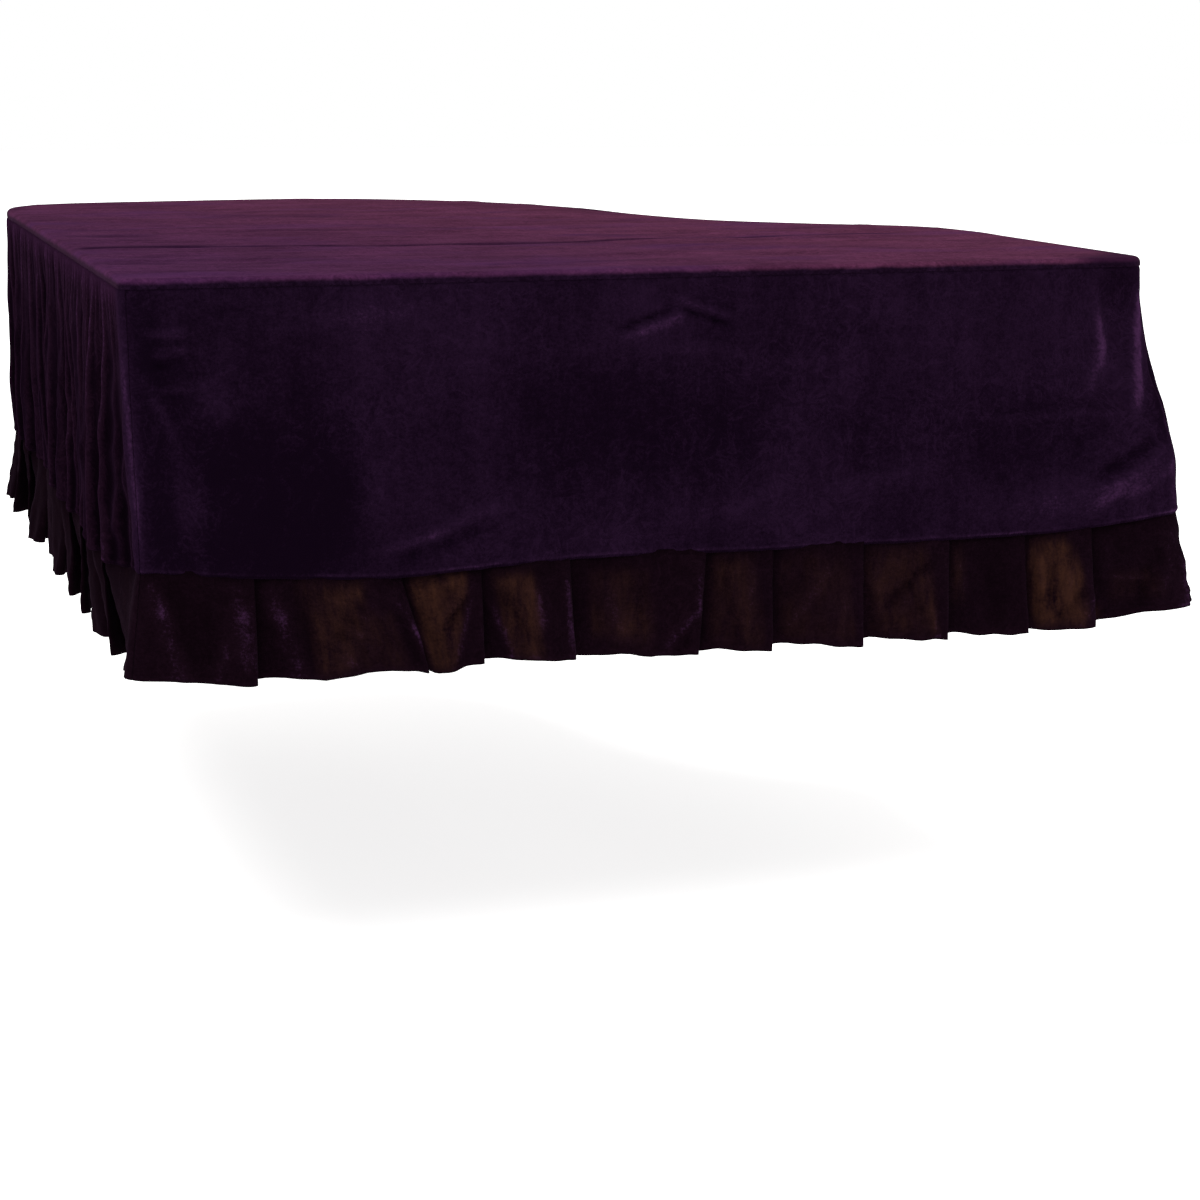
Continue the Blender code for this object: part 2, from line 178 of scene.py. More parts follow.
CORNER_SOFTNESS = 0.012
RING, LENGTH = edge_of_top()
STATIONS = np.arange(len(RING)) * LENGTH / len(RING)
RING = np.stack([soften(RING[:, k], CORNER_SOFTNESS) for k in (0, 1)], axis=1)
TANGENT = np.roll(RING, -1, axis=0) - np.roll(RING, 1, axis=0)
TANGENT /= np.linalg.norm(TANGENT, axis=1, keepdims=True)
OUTWARD = np.stack([TANGENT[:, 1], -TANGENT[:, 0]], axis=1)
RIGHT_CORNER = station_at(CHEEK_X, FRONT_Y)
print(f"edge of the top: {LENGTH:.3f} m round, front edge {RIGHT_CORNER:.3f} m")

# %% [markdown]
# ## How the cloth hangs
#
# Below the edge the cloth doesn't hang straight down. It stands out a little more or less from place to
# place, it falls in gathered folds round the sides, and at the right front corner it swings out in one large
# fold. Each of these is a run of values round the edge, and one function of station and depth adds them up.
# A cloth simulation would give folds too, but not these folds in these places.

# %% Values that change round the edge
# Stand-off of the cloth: x, y of the edge above, at the seam, at the hem
FLARE = (
    (-0.75, -0.85, -0.016, 0.006),
    (-0.60, -0.85, 0.020, 0.026),
    (0.00, -0.85, 0.012, 0.018),
    (0.45, -0.85, 0.010, 0.016),
    (0.774, -0.85, 0.000, 0.004),
    (0.774, -0.50, 0.010, 0.020),
    (0.50, 0.00, 0.008, 0.026),
    (0.33, 0.40, 0.010, 0.030),
    (-0.18, 0.85, 0.010, 0.026),
    (-0.68, 0.73, -0.004, 0.030),
    (-0.76, 0.56, -0.008, -0.008),
    (-0.75, 0.20, -0.008, -0.006),
    (-0.75, -0.30, 0.000, -0.012),
    (-0.75, -0.70, 0.006, -0.015),
)

# Depth of the seam below the top along the front, less DROP_DEPTH: x, depth
FRONT_SEAM = (
    (-0.75, -0.014),
    (-0.60, -0.006),
    (-0.42, 0.007),
    (-0.27, 0.001),
    (-0.10, -0.004),
    (0.17, 0.002),
    (0.45, 0.004),
    (0.62, 0.004),
    (0.774, -0.020),
)
SEAM_LEVEL_FROM = 0.3
VALUE_SOFTNESS = 0.08


def spread(places, values):
    """A soft run round the edge through values stated at places."""
    order = np.argsort(places)
    rough = np.interp(STATIONS, np.array(places)[order], np.array(values)[order], period=LENGTH)
    return soften(rough, VALUE_SOFTNESS)


def smooth_step(low, high, values):
    """0 below low and 1 above high, and t^2 (3 - 2t) between them, where t is the share of the way."""
    share = np.clip((values - low) / (high - low), 0.0, 1.0)
    return share * share * (3 - 2 * share)


def hill(off, width):
    """exp(-(off / width)^2): 1 where off is 0, and almost nothing beyond two widths."""
    return np.exp(-((off / width) ** 2))


flare_places = [station_at(x, y) for x, y, _, _ in FLARE]
FLARE_AT_SEAM = spread(flare_places, [row[2] for row in FLARE])
FLARE_AT_HEM = spread(flare_places, [row[3] for row in FLARE])
seam_places = [station_at(x, FRONT_Y) for x, _ in FRONT_SEAM]
seam_places += [RIGHT_CORNER + SEAM_LEVEL_FROM, LENGTH - SEAM_LEVEL_FROM]
SEAM_DEPTH = DROP_DEPTH + spread(seam_places, [row[1] for row in FRONT_SEAM] + [0.0, 0.0])
print(f"seam from {SEAM_DEPTH.min():.3f} to {SEAM_DEPTH.max():.3f} m below the top")

# %% Gathered folds of the sides
GATHER_PITCH = 0.118
GATHER_AT_RIM = 0.0015
GATHER_AT_SEAM = 0.013
GATHER_FREE = 0.8
GATHER_LOST_BELOW = 0.6
FLARE_POWER = 1.4


def turns(run, pitch):
    """Angle of a sine wave of this pitch after a run."""
    return 2 * np.pi * run / pitch


def gathers():
    """Height of the large folds round the edge, from about -1 to 1, and none along the front.

    Two sine waves of the station, whose pitch and height drift slowly, so that no two folds are alike.
    """
    phase = turns(STATIONS, GATHER_PITCH) + 1.3 * np.sin(turns(STATIONS, 0.90))
    phase += 0.7 * np.sin(turns(STATIONS, 0.37) + 1.0)
    height = np.sin(phase) + 0.25 * np.sin(2 * phase + 0.5)
    height *= 1 + 0.35 * np.sin(turns(STATIONS, 0.51) + 2.0)
    from_front = np.minimum(STATIONS - RIGHT_CORNER, LENGTH - STATIONS)
    return height * smooth_step(0.01, 0.09, from_front)


GATHERS = gathers()
print(f"about {round((LENGTH - RIGHT_CORNER) / GATHER_PITCH)} large folds round the sides")

# %% The surface that every hanging cloth lies on
CORNER_SWING_AT_SEAM = np.array([0.076, -0.020])
CORNER_SWING_AT_HEM = np.array([0.087, -0.030])
CORNER_SWING_FROM = 0.04
CORNER_SWING_FULL = 0.335
CORNER_SWING_REACH = 0.21


def wall(station, depth, lift=0.0):
    """Points of the hanging cloth at these stations and depths, moved outwards by lift.

    The point is the edge at that station, plus the outward direction times the stand-off, plus the pull of
    the swinging corner, at that depth. Down to the seam the stand-off grows with the power 1.4 of the depth,
    and below it in a straight line to the hem. The gathers deepen from the rim to the seam and ease below it.
    """
    seam = around(SEAM_DEPTH, station)
    above = np.clip((depth - RIM_DEPTH) / (seam - RIM_DEPTH), 0.0, 1.0)
    below = np.clip((depth - seam) / RUFFLE_DEPTH, 0.0, 1.0)
    out = around(FLARE_AT_SEAM, station) * (above**FLARE_POWER - below)
    out += around(FLARE_AT_HEM, station) * below
    fold = GATHER_AT_RIM + (GATHER_AT_SEAM - GATHER_AT_RIM) * smooth_step(0.0, GATHER_FREE, above)
    out += around(GATHERS, station) * fold * (1 - GATHER_LOST_BELOW * below) + lift
    swing = smooth_step(CORNER_SWING_FROM, CORNER_SWING_FULL, depth) * (1 - below)
    near = smooth_step(CORNER_SWING_REACH, 0.0, np.abs(station - RIGHT_CORNER))[..., None]
    pull = CORNER_SWING_AT_SEAM * swing[..., None] + CORNER_SWING_AT_HEM * below[..., None]
    place = around(RING, station) + around(OUTWARD, station) * out[..., None] + pull * near
    return np.concatenate([place, -depth[..., None]], axis=-1)


print("front edge of the cloth at the seam:", wall(np.array([0.7]), np.array([DROP_DEPTH])).round(3))

# %% [markdown]
# ## Small relief
#
# Real cloth is never as even as a formula. Two kinds of relief are laid over every piece. Waves give the slow
# swell of slack cloth: a sum of a few sine waves in different directions, with fixed random phases. Ridges
# are single creases, each a soft bump or dent along a short line. Both are plain functions of two
# coordinates on the cloth, so they work on whole grids at once. The tables of ridges are in millimetres.

# %% Waves and ridges
def waves(across, down, pitch, seed, count=7):
    """Sum of sine waves of about this pitch in random directions, from about -1 to 1."""
    rng = np.random.default_rng(seed)
    angle = rng.uniform(0, np.pi, count)
    number = 2 * np.pi / (pitch * rng.uniform(0.7, 1.5, count))
    phase = rng.uniform(0, 2 * np.pi, count)
    turn = number * (np.cos(angle) * across[..., None] + np.sin(angle) * down[..., None]) + phase
    return np.sin(turn).sum(axis=-1) / math.sqrt(count)


def ridge(across, down, start, end, width, height):
    """Height times exp(-(distance to the line / width)^2), and it fades out towards both ends of the line."""
    start, run = np.array(start), np.array(end) - np.array(start)
    length = np.hypot(*run)
    along = ((across - start[0]) * run[0] + (down - start[1]) * run[1]) / length**2
    off = ((across - start[0]) * run[1] - (down - start[1]) * run[0]) / length
    fade = smooth_step(-0.1, 0.25, along) * smooth_step(1.1, 0.75, along)
    return height * hill(off, width) * fade


def ridges(across, down, table, start=0.0):
    """Sum of the ridges of a table, whose across values count from start.

    A row gives start across and down, end across and down and width, all in millimetres, and then the height
    in the unit of the sum.
    """
    total = np.zeros(np.broadcast(across, down).shape)
    for *line, height in table:
        x0, y0, x1, y1, width = np.array(line) * MM
        total += ridge(across, down, (x0 + start, y0), (x1 + start, y1), width, height)
    return total


print("a crease at its middle:", ridges(np.array([0.05]), np.array([0.0]), ((0, 0, 100, 0, 10, 1.0),)))

# %% [markdown]
# ## From a grid of points to a cloth
#
# Each cloth is a grid of points on its middle surface. A Solidify modifier turns it into a sheet of real
# thickness and closes its edges, which is simpler and more even than building the second face by hand. The
# grid also gets a UV map in metres, measured along the cloth itself, so that the pile keeps its scale in the
# pleats. The size that a cloth was cut to is measured the same way, round all its folds.

# %% Make a cloth from a grid
CLOTH = 0.0012


def lengths_along(middle, axis):
    """Distance along the cloth from the first row or column, measured from point to point."""
    steps = np.linalg.norm(np.diff(middle, axis=axis), axis=-1)
    zero = np.zeros_like(steps[:1] if axis == 0 else steps[:, :1])
    return np.concatenate([zero, np.cumsum(steps, axis=axis)], axis=axis)


def put_in_scene(obj):
    """Adds an object to the scene."""
    bpy.context.scene.collection.objects.link(obj)
    return obj


def add_mesh(name, points, faces, uv, node, values):
    """A smooth mesh with a UV map in metres and other values at its points, as a sheet of cloth."""
    mesh = bpy.data.meshes.new(name)
    mesh.from_pydata(points.tolist(), [], faces.tolist())
    mesh.validate()
    mesh.shade_smooth()
    corners = np.empty(len(mesh.loops), dtype=np.int64)
    mesh.loops.foreach_get("vertex_index", corners)
    layer = mesh.uv_layers.new(name="cloth")
    layer.data.foreach_set("uv", uv[corners].astype(np.float32).ravel())
    for key, value in values.items():
        kept = mesh.attributes.new(key, "FLOAT", "POINT")
        kept.data.foreach_set("value", value.astype(np.float32).ravel())
    obj = put_in_scene(bpy.data.objects.new(name, mesh))
    thick = obj.modifiers.new("thickness of the cloth", "SOLIDIFY")
    thick.thickness = CLOTH
    thick.offset = 0.0
    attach(obj, "root")
    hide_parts(node)
    return obj


def grid_faces(rows, columns):
    """Quads of a grid whose rows run down and whose columns run to the right, facing the viewer."""
    index = np.arange(rows * columns).reshape(rows, columns)
    corners = (index[:-1, :-1], index[1:, :-1], index[1:, 1:], index[:-1, 1:])
    return np.stack([np.ravel(corner) for corner in corners], axis=1)


def add_cloth(name, middle, node, values):
    """A cloth on a grid of points, rows from top to bottom, and the size it was cut to."""
    rows, columns = middle.shape[:2]
    across, down = lengths_along(middle, 1), lengths_along(middle, 0)
    u = np.broadcast_to(across[rows // 2], (rows, columns))
    uv = np.stack([u.ravel(), down.ravel()], axis=1)
    obj = add_mesh(name, middle.reshape(-1, 3), grid_faces(rows, columns), uv, node, values)
    cut = (round(float(across[:, -1].mean()), 3), round(float(down[-1].mean()), 3))
    print(f"{name}: {rows} x {columns} points, cut {cut[0]:.3f} x {cut[1]:.3f} m")
    return obj, cut


# %% [markdown]
# ## The top
#
# The top is one wing-shaped cloth pulled flat, with its edge turned down all round as a narrow rim. Its grid
# is a patch stretched between four runs of the edge: the front, the cheek with the bent side, the tail and
# the spine side. That keeps its rows almost parallel to the crease that crosses it, so close rows there can
# carry a sharp trough. A triangulated outline would be quicker, but its uneven triangles would show.

# %% Creases of the top
# Pressed crease across the top: x, y
CREASE = (
    (-0.745, -0.345),
    (-0.60, -0.343),
    (-0.42, -0.366),
    (-0.11, -0.395),
    (0.10, -0.375),
    (0.25, -0.360),
    (0.48, -0.330),
    (0.66, -0.310),
)
CREASE_DEPTH = 0.0032
CREASE_WIDTH = 0.005
CREASE_LIP = 0.0012
CREASE_LIP_WIDTH = 0.022
CREASE_STEPS = 6

# Short wrinkles in mm: start x, y, end x, y, width, height
TOP_WRINKLES = (
    (-735, -335, -500, -352, 16, -2),
    (-688, -170, -600, -190, 14, -2.4),
    (-740, -70, -590, -120, 18, -2.2),
    (-730, 61, -590, 37, 22, -2.4),
    (-742, -605, -640, -626, 12, -2.2),
    (-742, -560, -660, -575, 12, 1.6),
    (-735, -480, -630, -500, 14, -1.4),
    (-493, -36, -250, -10, 20, -1.6),
    (-238, 52, -47, -60, 24, -1.6),
    (-235, -748, -130, -717, 10, -2.2),
    (-20, -100, 240, -60, 20, 1.2),
    (120, -250, 420, -215, 16, -1.2),
    (-450, 330, -150, 300, 26, -1.6),
    (-100, 520, 120, 470, 26, 1.4),
    (300, -560, 560, -530, 14, -1),
)
WRINKLE_FULL = 2.2
DENT_SHADE = 0.6
FLAT_WITHIN = 0.012
TOP_SWELL = 0.0010
TOP_FINE_SWELL = 0.0005
SHADE_LINE_WIDTH = 0.009
SHADE_BAND = 0.2
SHADE_BAND_WIDTH = 0.03

# Painted shade where the top turns down near its edge: start x, y, end x, y and width in mm, strength
TOP_SHADES = (
    (660, -862, 815, -800, 45, 1.30),
    (768, -880, 780, -640, 22, 0.90),
    (350, 270, 300, 480, 22, 0.90),
    (-765, 560, -700, 760, 14, 0.50),
)


def off_crease(x, y):
    """Distance from the crease, measured along y."""
    line = catmull_rom(CREASE, CREASE_STEPS)
    return y - np.interp(x, line[:, 0], line[:, 1])


def crease_relief(x, y):
    """A sharp trough between two low lips along the crease."""
    off = off_crease(x, y)
    along = smooth_step(-0.76, -0.70, x) * smooth_step(0.70, 0.45, x)
    return along * (CREASE_LIP * hill(off, CREASE_LIP_WIDTH) - CREASE_DEPTH * hill(off, CREASE_WIDTH))


def top_relief(x, y, inset):
    """Height of the top above flat, eased to nothing towards the rim."""
    swell = TOP_SWELL * waves(0.35 * x, y, 0.11, seed=3)
    swell += TOP_FINE_SWELL * waves(0.2 * x, y, 0.035, seed=5)
    height = swell + crease_relief(x, y) + MM * ridges(x, y, TOP_WRINKLES)
    return height * smooth_step(0.0, FLAT_WITHIN, inset)


def pressed(x, y):
    """How much the top is painted dark as shade: along the crease, in the dents of the wrinkles and near its
    edge.
    """
    off = off_crease(x, y)
    along = smooth_step(-0.76, -0.72, x) * smooth_step(0.74, 0.50, x)
    line = hill(off, SHADE_LINE_WIDTH) + SHADE_BAND * hill(off, SHADE_BAND_WIDTH)
    dents = DENT_SHADE * np.clip(-ridges(x, y, TOP_WRINKLES) / WRINKLE_FULL, 0.0, 1.0)
    return np.clip(along * line + dents + ridges(x, y, TOP_SHADES), 0.0, 1.0)


print("wrinkles of the top:", len(TOP_WRINKLES))

# %% Grid of the top between four runs of the edge
TAIL_RIGHT = station_at(0.190, 0.660)
TAIL_LEFT = station_at(-0.705, 0.745)
TOP_COLUMNS = 150
TOP_ROWS = 236
TOP_CLOSENESS = 0.75
LAST_ROW_Y = 0.70
CREASE_Y = -0.35
CREASE_ROWS = 2.2
CREASE_ROWS_WIDTH = 0.07
END_ROWS = 1.5
END_ROWS_SHARE = 0.02
FINE_STEPS = 2000
FLAT_EDGE = RING - OUTWARD * RIM_RADIUS


def close_at_ends(count, closeness):
    """Shares from 0 to 1, t - k sin(2 pi t) / 2 pi, which lie closer together towards both ends."""
    t = np.linspace(0.0, 1.0, count)
    return t - closeness * np.sin(2 * np.pi * t) / (2 * np.pi)


def close_at_crease(count):
    """Shares of the way from front to back, about three times as close at the crease and near both ends."""
    t = np.linspace(0.0, 1.0, FINE_STEPS)
    place = FRONT_Y + t * (LAST_ROW_Y - FRONT_Y)
    density = 1.0 + CREASE_ROWS * hill(place - CREASE_Y, CREASE_ROWS_WIDTH)
    density += END_ROWS * (hill(t, END_ROWS_SHARE) + hill(1 - t, END_ROWS_SHARE))
    total = np.concatenate([[0.0], np.cumsum(density[1:] + density[:-1])])
    return np.interp(np.linspace(0.0, total[-1], count), total, t)


def run_of_edge(first, last, shares, axis):
    """Stations between first and last at even shares of their run in x or y."""
    fine = np.linspace(first, last, 2 * FINE_STEPS)
    value = around(FLAT_EDGE[:, axis], fine)
    target = value[0] + shares * (value[-1] - value[0])
    if value[-1] < value[0]:
        fine, value = fine[::-1], value[::-1]
    return np.interp(target, value, fine)


across = close_at_ends(TOP_COLUMNS, TOP_CLOSENESS)
back = close_at_crease(TOP_ROWS)
front_run = run_of_edge(0.0, RIGHT_CORNER, across, 0)
right_run = run_of_edge(RIGHT_CORNER, TAIL_RIGHT, back, 1)
tail_run = run_of_edge(TAIL_LEFT, TAIL_RIGHT, across, 0)
spine_run = run_of_edge(LENGTH, TAIL_LEFT, back, 1)
print(f"top: {TOP_ROWS} rows of {TOP_COLUMNS} points")


# %% Shape of the top and its rim
def patch(front, tail, spine, right):
    """Points of a patch between four curves.

    Straight lines from spine to right side, plus straight lines from front to tail, less the patch that is
    straight both ways between the four corners.
    """
    u, v = across[None, :, None], back[:, None, None]
    both = (1 - v) * ((1 - u) * front[0] + u * front[-1]) + v * ((1 - u) * tail[0] + u * tail[-1])
    return (1 - v) * front[None] + v * tail[None] + (1 - u) * spine[:, None] + u * right[:, None] - both


RIM_TURN_STEPS = 7
RIM_TUCK = 0.0002
RIM_STRAIGHT_TO = (-0.0105, -0.0122)


def rim_rows(stations):
    """Rings of the rim below the flat part: a quarter circle over the edge, then straight down.

    At angle a a ring lies RIM_RADIUS sin(a) outside the flat part and RIM_RADIUS (1 - cos(a)) below it. The
    last ring turns in a little, where the drop is sewn on.
    """
    flat, out = around(FLAT_EDGE, stations), around(OUTWARD, stations)
    angles = np.linspace(0.0, math.pi / 2, RIM_TURN_STEPS + 1)[1:]
    runs = [(RIM_RADIUS * math.sin(a), SHEET / 2 - RIM_RADIUS * (1 - math.cos(a))) for a in angles]
    runs += [(RIM_RADIUS, RIM_STRAIGHT_TO[0]), (RIM_RADIUS - RIM_TUCK, RIM_STRAIGHT_TO[1])]
    return [np.column_stack([flat + out * run, np.full(len(flat), height)]) for run, height in runs]


def top_and_rim():
    """Points and faces of the flat patch and of the rings of the rim round it."""
    curves = [around(FLAT_EDGE, run) for run in (front_run, tail_run, spine_run, right_run)]
    plan = patch(*curves)
    inset = np.full(plan.shape[:2], 1.0)
    for curve in curves:
        for part in np.array_split(curve, 6):
            gap = plan[:, :, None, :] - part[None, None]
            inset = np.minimum(inset, np.sqrt((gap**2).sum(axis=-1)).min(axis=-1))
    height = SHEET / 2 + top_relief(plan[..., 0], plan[..., 1], inset)
    points = [np.concatenate([plan, height[..., None]], axis=-1).reshape(-1, 3)]
    index = np.arange(plan.shape[0] * plan.shape[1]).reshape(plan.shape[:2])
    quads = [index[:-1, :-1], index[:-1, 1:], index[1:, 1:], index[1:, :-1]]
    faces = [np.stack([quad.ravel() for quad in quads], axis=1)]
    ring = np.concatenate([index[0, :-1], index[:-1, -1], index[-1, :0:-1], index[:0:-1, 0]])
    stations = np.concatenate([front_run[:-1], right_run[:-1], tail_run[:0:-1], spine_run[:0:-1]])
    used = index.size
    for row in rim_rows(stations):
        points.append(row)
        under = used + np.arange(len(row))
        corners = (ring, under, np.roll(under, -1), np.roll(ring, -1))
        faces.append(np.stack(corners, axis=1))
        ring = under
        used += len(row)
    return np.concatenate(points), np.concatenate(faces)


top_points, top_faces = top_and_rim()
top_values = {"pressed": pressed(top_points[:, 0], top_points[:, 1])}
top = add_mesh("velvet_top", top_points, top_faces, top_points[:, :2], "top_panel", top_values)
edge = around(RING, STATIONS)
turned = 2 * (RIM_DEPTH + RIM_RADIUS * (math.pi / 2 - 1))
top_area = 0.5 * abs(np.sum(edge[:, 0] * np.roll(edge[:, 1], -1) - np.roll(edge[:, 0], -1) * edge[:, 1]))
top_area += LENGTH * (turned / 2 - RIM_RADIUS)

# %% [markdown]
# ## The drops
#
# The front drop hangs smooth, with a few diagonal drag lines where the cloth is pulled to the corners. The
# side drops are gathered on to the top, so narrow puckers start at the rim and run into the large folds. Both
# are the same wall function with relief as its lift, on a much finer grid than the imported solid.

# %% Creases of the front drop
# Creases in mm: start x and depth, end x and depth, width, height
FRONT_CREASES = (
    (-70, 84, 20, 54, 5, -5.6),
    (-66, 96, 34, 64, 8, 5.6),
    (20, 44, 110, 72, 5, 5),
    (20, 54, 105, 82, 5, -4),
    (-10, 110, 115, 118, 8, 3.6),
    (-425, 377, -320, 350, 8, 4.4),
    (-350, 358, -235, 318, 9, 4.4),
    (-400, 392, -250, 344, 11, -4),
    (510, 223, 705, 213, 6, -3.4),
    (500, 232, 690, 225, 8, 2),
    (540, 385, 700, 335, 26, 3),
    (-722, 72, -664, 69, 5, 6.4),
    (-715, 98, -662, 91, 5, 6.8),
    (-712, 111, -668, 108, 4, -5),
    (-705, 146, -660, 140, 6, 5.6),
    (-727, 120, -685, 215, 9, 6),
    (-690, 240, -655, 390, 16, 1.4),
    (-700, 100, -620, 300, 26, -3.6),
    (682, 52, 684, 150, 7, 5.2),
    (686, 120, 655, 205, 10, 4),
    (764, 30, 714, 235, 8, 6),
    (772, 130, 752, 270, 12, -4),
    (640, 385, 748, 292, 8, 5),
    (688, 362, 756, 310, 8, 5.4),
    (660, 352, 745, 280, 6, 4.6),
    (655, 330, 735, 272, 12, -5.4),
    (620, 340, 720, 262, 6, 3),
    (240, 330, 420, 300, 16, 3.6),
    (85, 360, 190, 300, 12, 2.6),
    (-520, 60, -330, 45, 20, 2.4),
    (150, 120, 330, 90, 18, -2.4),
)
print("creases of the front drop:", len(FRONT_CREASES))

# %% Brushed pile and painted light of the front drop
# Where the front drop is painted lighter or darker, as brushed pile, painted highlights and sheen streaks and
# painted shade: start x and depth, end x and depth and width in mm, change
FRONT_PILE_AND_LIGHT = (
    (-660, 290, -440, 250, 125, -1.25),
    (-600, 370, -420, 300, 60, -0.40),
    (-722, 20, -700, 390, 22, -1.00),
    (-760, 60, -736, 390, 10, 1.20),
    (-735, 365, -500, 375, 45, -0.90),
    (-240, 225, 200, 235, 90, -0.80),
    (250, 240, 700, 250, 80, -0.50),
    (-500, 70, -210, 100, 70, 0.35),
    (-110, 50, 60, 80, 60, 0.40),
    (280, 110, 640, 110, 110, 0.30),
    (470, 372, 740, 345, 30, 0.22),
    (-120, 330, 260, 335, 40, 0.30),
    (-657, 135, -606, 190, 26, 0.85),
    (684, 80, 688, 125, 7, 0.70),
    (690, 115, 682, 165, 6, 0.80),
    (680, 140, 650, 215, 12, 0.45),
    (764, 30, 714, 235, 6, 1.70),
    (775, 110, 750, 280, 12, -1.10),
    (765, 190, 757, 260, 4, 0.90),
    (757, 290, 757, 395, 10, 0.80),
    (690, 30, 775, 45, 30, -0.60),
    (690, 80, 700, 230, 30, 0.20),
)
print("brushed places of the front drop:", len(FRONT_PILE_AND_LIGHT))

# %% Folds of the spine side
# Folds in mm: start x and depth, end x and depth, width, height. Here x counts on round the left corner.
SPINE_FOLDS = (
    (-1235, 40, -1290, 330, 55, 3.2),
    (-1100, 50, -1165, 270, 13, -7),
    (-950, 50, -965, 300, 50, 1.6),
    (-1066, 230, -1170, 395, 16, 5),
    (-990, 210, -1060, 380, 18, -5.6),
    (-775, 230, -880, 400, 14, 3),
    (-830, 180, -960, 380, 16, -3.4),
    (-1400, 100, -1440, 360, 16, -5),
)
print("folds of the spine side:", len(SPINE_FOLDS))

# %% Where a station lies
NEAR_END = 0.8
SIDE_FROM = 0.01
SIDE_FULL = 0.06
CALM_REACH = 0.03
LAP_IN = 0.0015
LAP_REACH = 0.003
FRONT_START = station_at(0.0, FRONT_Y)


def from_start(station):
    """The station, counted backwards from the start where that is nearer."""
    return np.where(station > NEAR_END * LENGTH, station - LENGTH, station)


def side_share(station):
    """0 along the front and 1 along the gathered sides."""
    station = np.mod(station, LENGTH)
    return smooth_step(SIDE_FROM, SIDE_FULL, np.minimum(station - RIGHT_CORNER, LENGTH - station))


def calm_at_start(station):
    """0 where the run round the edge starts and ends, so that both ends meet, and 1 elsewhere."""
    station = np.mod(station, LENGTH)
    return smooth_step(0.0, CALM_REACH, np.minimum(station, LENGTH - station))


def lapped(station, start):
    """How far a piece is drawn in behind the end of the piece before it."""
    return LAP_IN * smooth_step(start + LAP_REACH, start, station)


def hanging_ridges(station, depth, table):
    """Sum of the ridges of a table whose across values are x along the front."""
    return ridges(from_start(station), depth, table, FRONT_START)


print(f"middle of the front edge at station {FRONT_START:.3f}")

# %% Relief of the drops
CREASE_UNEVEN = 0.35
CREASE_UNEVEN_PITCH = 0.035
SLACK_FROM = 0.012
SLACK_FULL = 0.12
SWELL = 0.0030
SWELL_PITCH = 0.26
FINE_SWELL = 0.0010
FINE_SWELL_PITCH = 0.07
PUCKER_PITCH = 0.021
PUCKER_HEIGHT = 0.0016
PUCKER_REACH = 0.10
SIDE_FOLD_PITCH = 0.043
SIDE_FOLD_HEIGHT = 0.0030
SEAM_TUCK = 0.0016
SEAM_TUCK_WIDTH = 0.0022
RIM_TUCK_SHARE = 0.1
RIM_TUCK_WIDTH = 0.0025
SEAM_ROLL = 0.0013
SEAM_ROLL_ABOVE = 0.0065
SEAM_ROLL_WIDTH = 0.004
SEAM_PUCKER = 0.0011
SEAM_PUCKER_PITCH = 0.028
SEAM_PUCKER_REACH = 0.035


def side_folds(station, depth):
    """Narrow puckers that start at the rim and die out, and longer folds that run down between them."""
    drift = 0.004 * np.sin(turns(station, 0.23)) + 0.06 * depth * np.sin(turns(station, 0.41))
    pucker = np.sin(turns(station + drift, PUCKER_PITCH) + 2 * np.sin(turns(station, 0.17)))
    fold = np.sin(turns(station + drift, SIDE_FOLD_PITCH) + 2 * np.sin(turns(station, 0.29)))
    fold *= 0.6 + 0.4 * waves(station, 0.2 * depth, 0.15, seed=11)
    height = PUCKER_HEIGHT * pucker * hill(depth, PUCKER_REACH) * smooth_step(SLACK_FROM, 0.035, depth)
    height += SIDE_FOLD_HEIGHT * fold * smooth_step(SLACK_FROM, 0.10, depth)
    return side_share(station) * height


def seam_relief(station, depth):
    """The cloth is drawn in at both seams, with a soft roll and small puckers just above the lower one."""
    from_top = depth - RIM_DEPTH
    from_seam = around(SEAM_DEPTH, station) - depth
    drawn = RIM_TUCK_SHARE * hill(from_top, RIM_TUCK_WIDTH) + hill(from_seam, SEAM_TUCK_WIDTH)
    roll = SEAM_ROLL * hill(from_seam - SEAM_ROLL_ABOVE, SEAM_ROLL_WIDTH)
    pucker = calm_at_start(station) * waves(station, 0.15 * depth, SEAM_PUCKER_PITCH, seed=17)
    return -SEAM_TUCK * drawn + roll + SEAM_PUCKER * pucker * hill(from_seam, SEAM_PUCKER_REACH)


def drop_relief(station, depth):
    """Everything that lifts the drops off their even surface."""
    slack = smooth_step(SLACK_FROM, SLACK_FULL, depth)
    swell = SWELL * waves(station, 0.7 * depth, SWELL_PITCH, seed=21)
    swell += FINE_SWELL * waves(station, depth, FINE_SWELL_PITCH, seed=23)
    uneven = 1 + CREASE_UNEVEN * waves(station, depth, CREASE_UNEVEN_PITCH, seed=27)
    wrinkles = MM * uneven * hanging_ridges(station, depth, FRONT_CREASES + SPINE_FOLDS)
    loose = slack * swell + wrinkles + side_folds(station, depth)
    return loose * calm_at_start(station) + seam_relief(station, depth)


print(f"puckers every {PUCKER_PITCH:.3f} m and folds every {SIDE_FOLD_PITCH:.3f} m round the sides")

# %% Painted light and shade of the drops
CREASE_FULL = 6.0
SIDE_RIM_SHEEN = 0.6
SIDE_RIM_REACH = 0.05
SIDE_SHADE = 0.95
SIDE_SHADE_REACH = 0.25
SIDE_FOLD_SHADE = 1.4
GATHER_SHADE = 0.35
DARKEST = -1.6
PALEST = 1.8
SEAM_LINE = 1.1
SEAM_LINE_ABOVE = 0.0055
SEAM_LINE_WIDTH = 0.0020
SEAM_DARK = 1.2
SIDE_SEAM_FAINT = 0.6


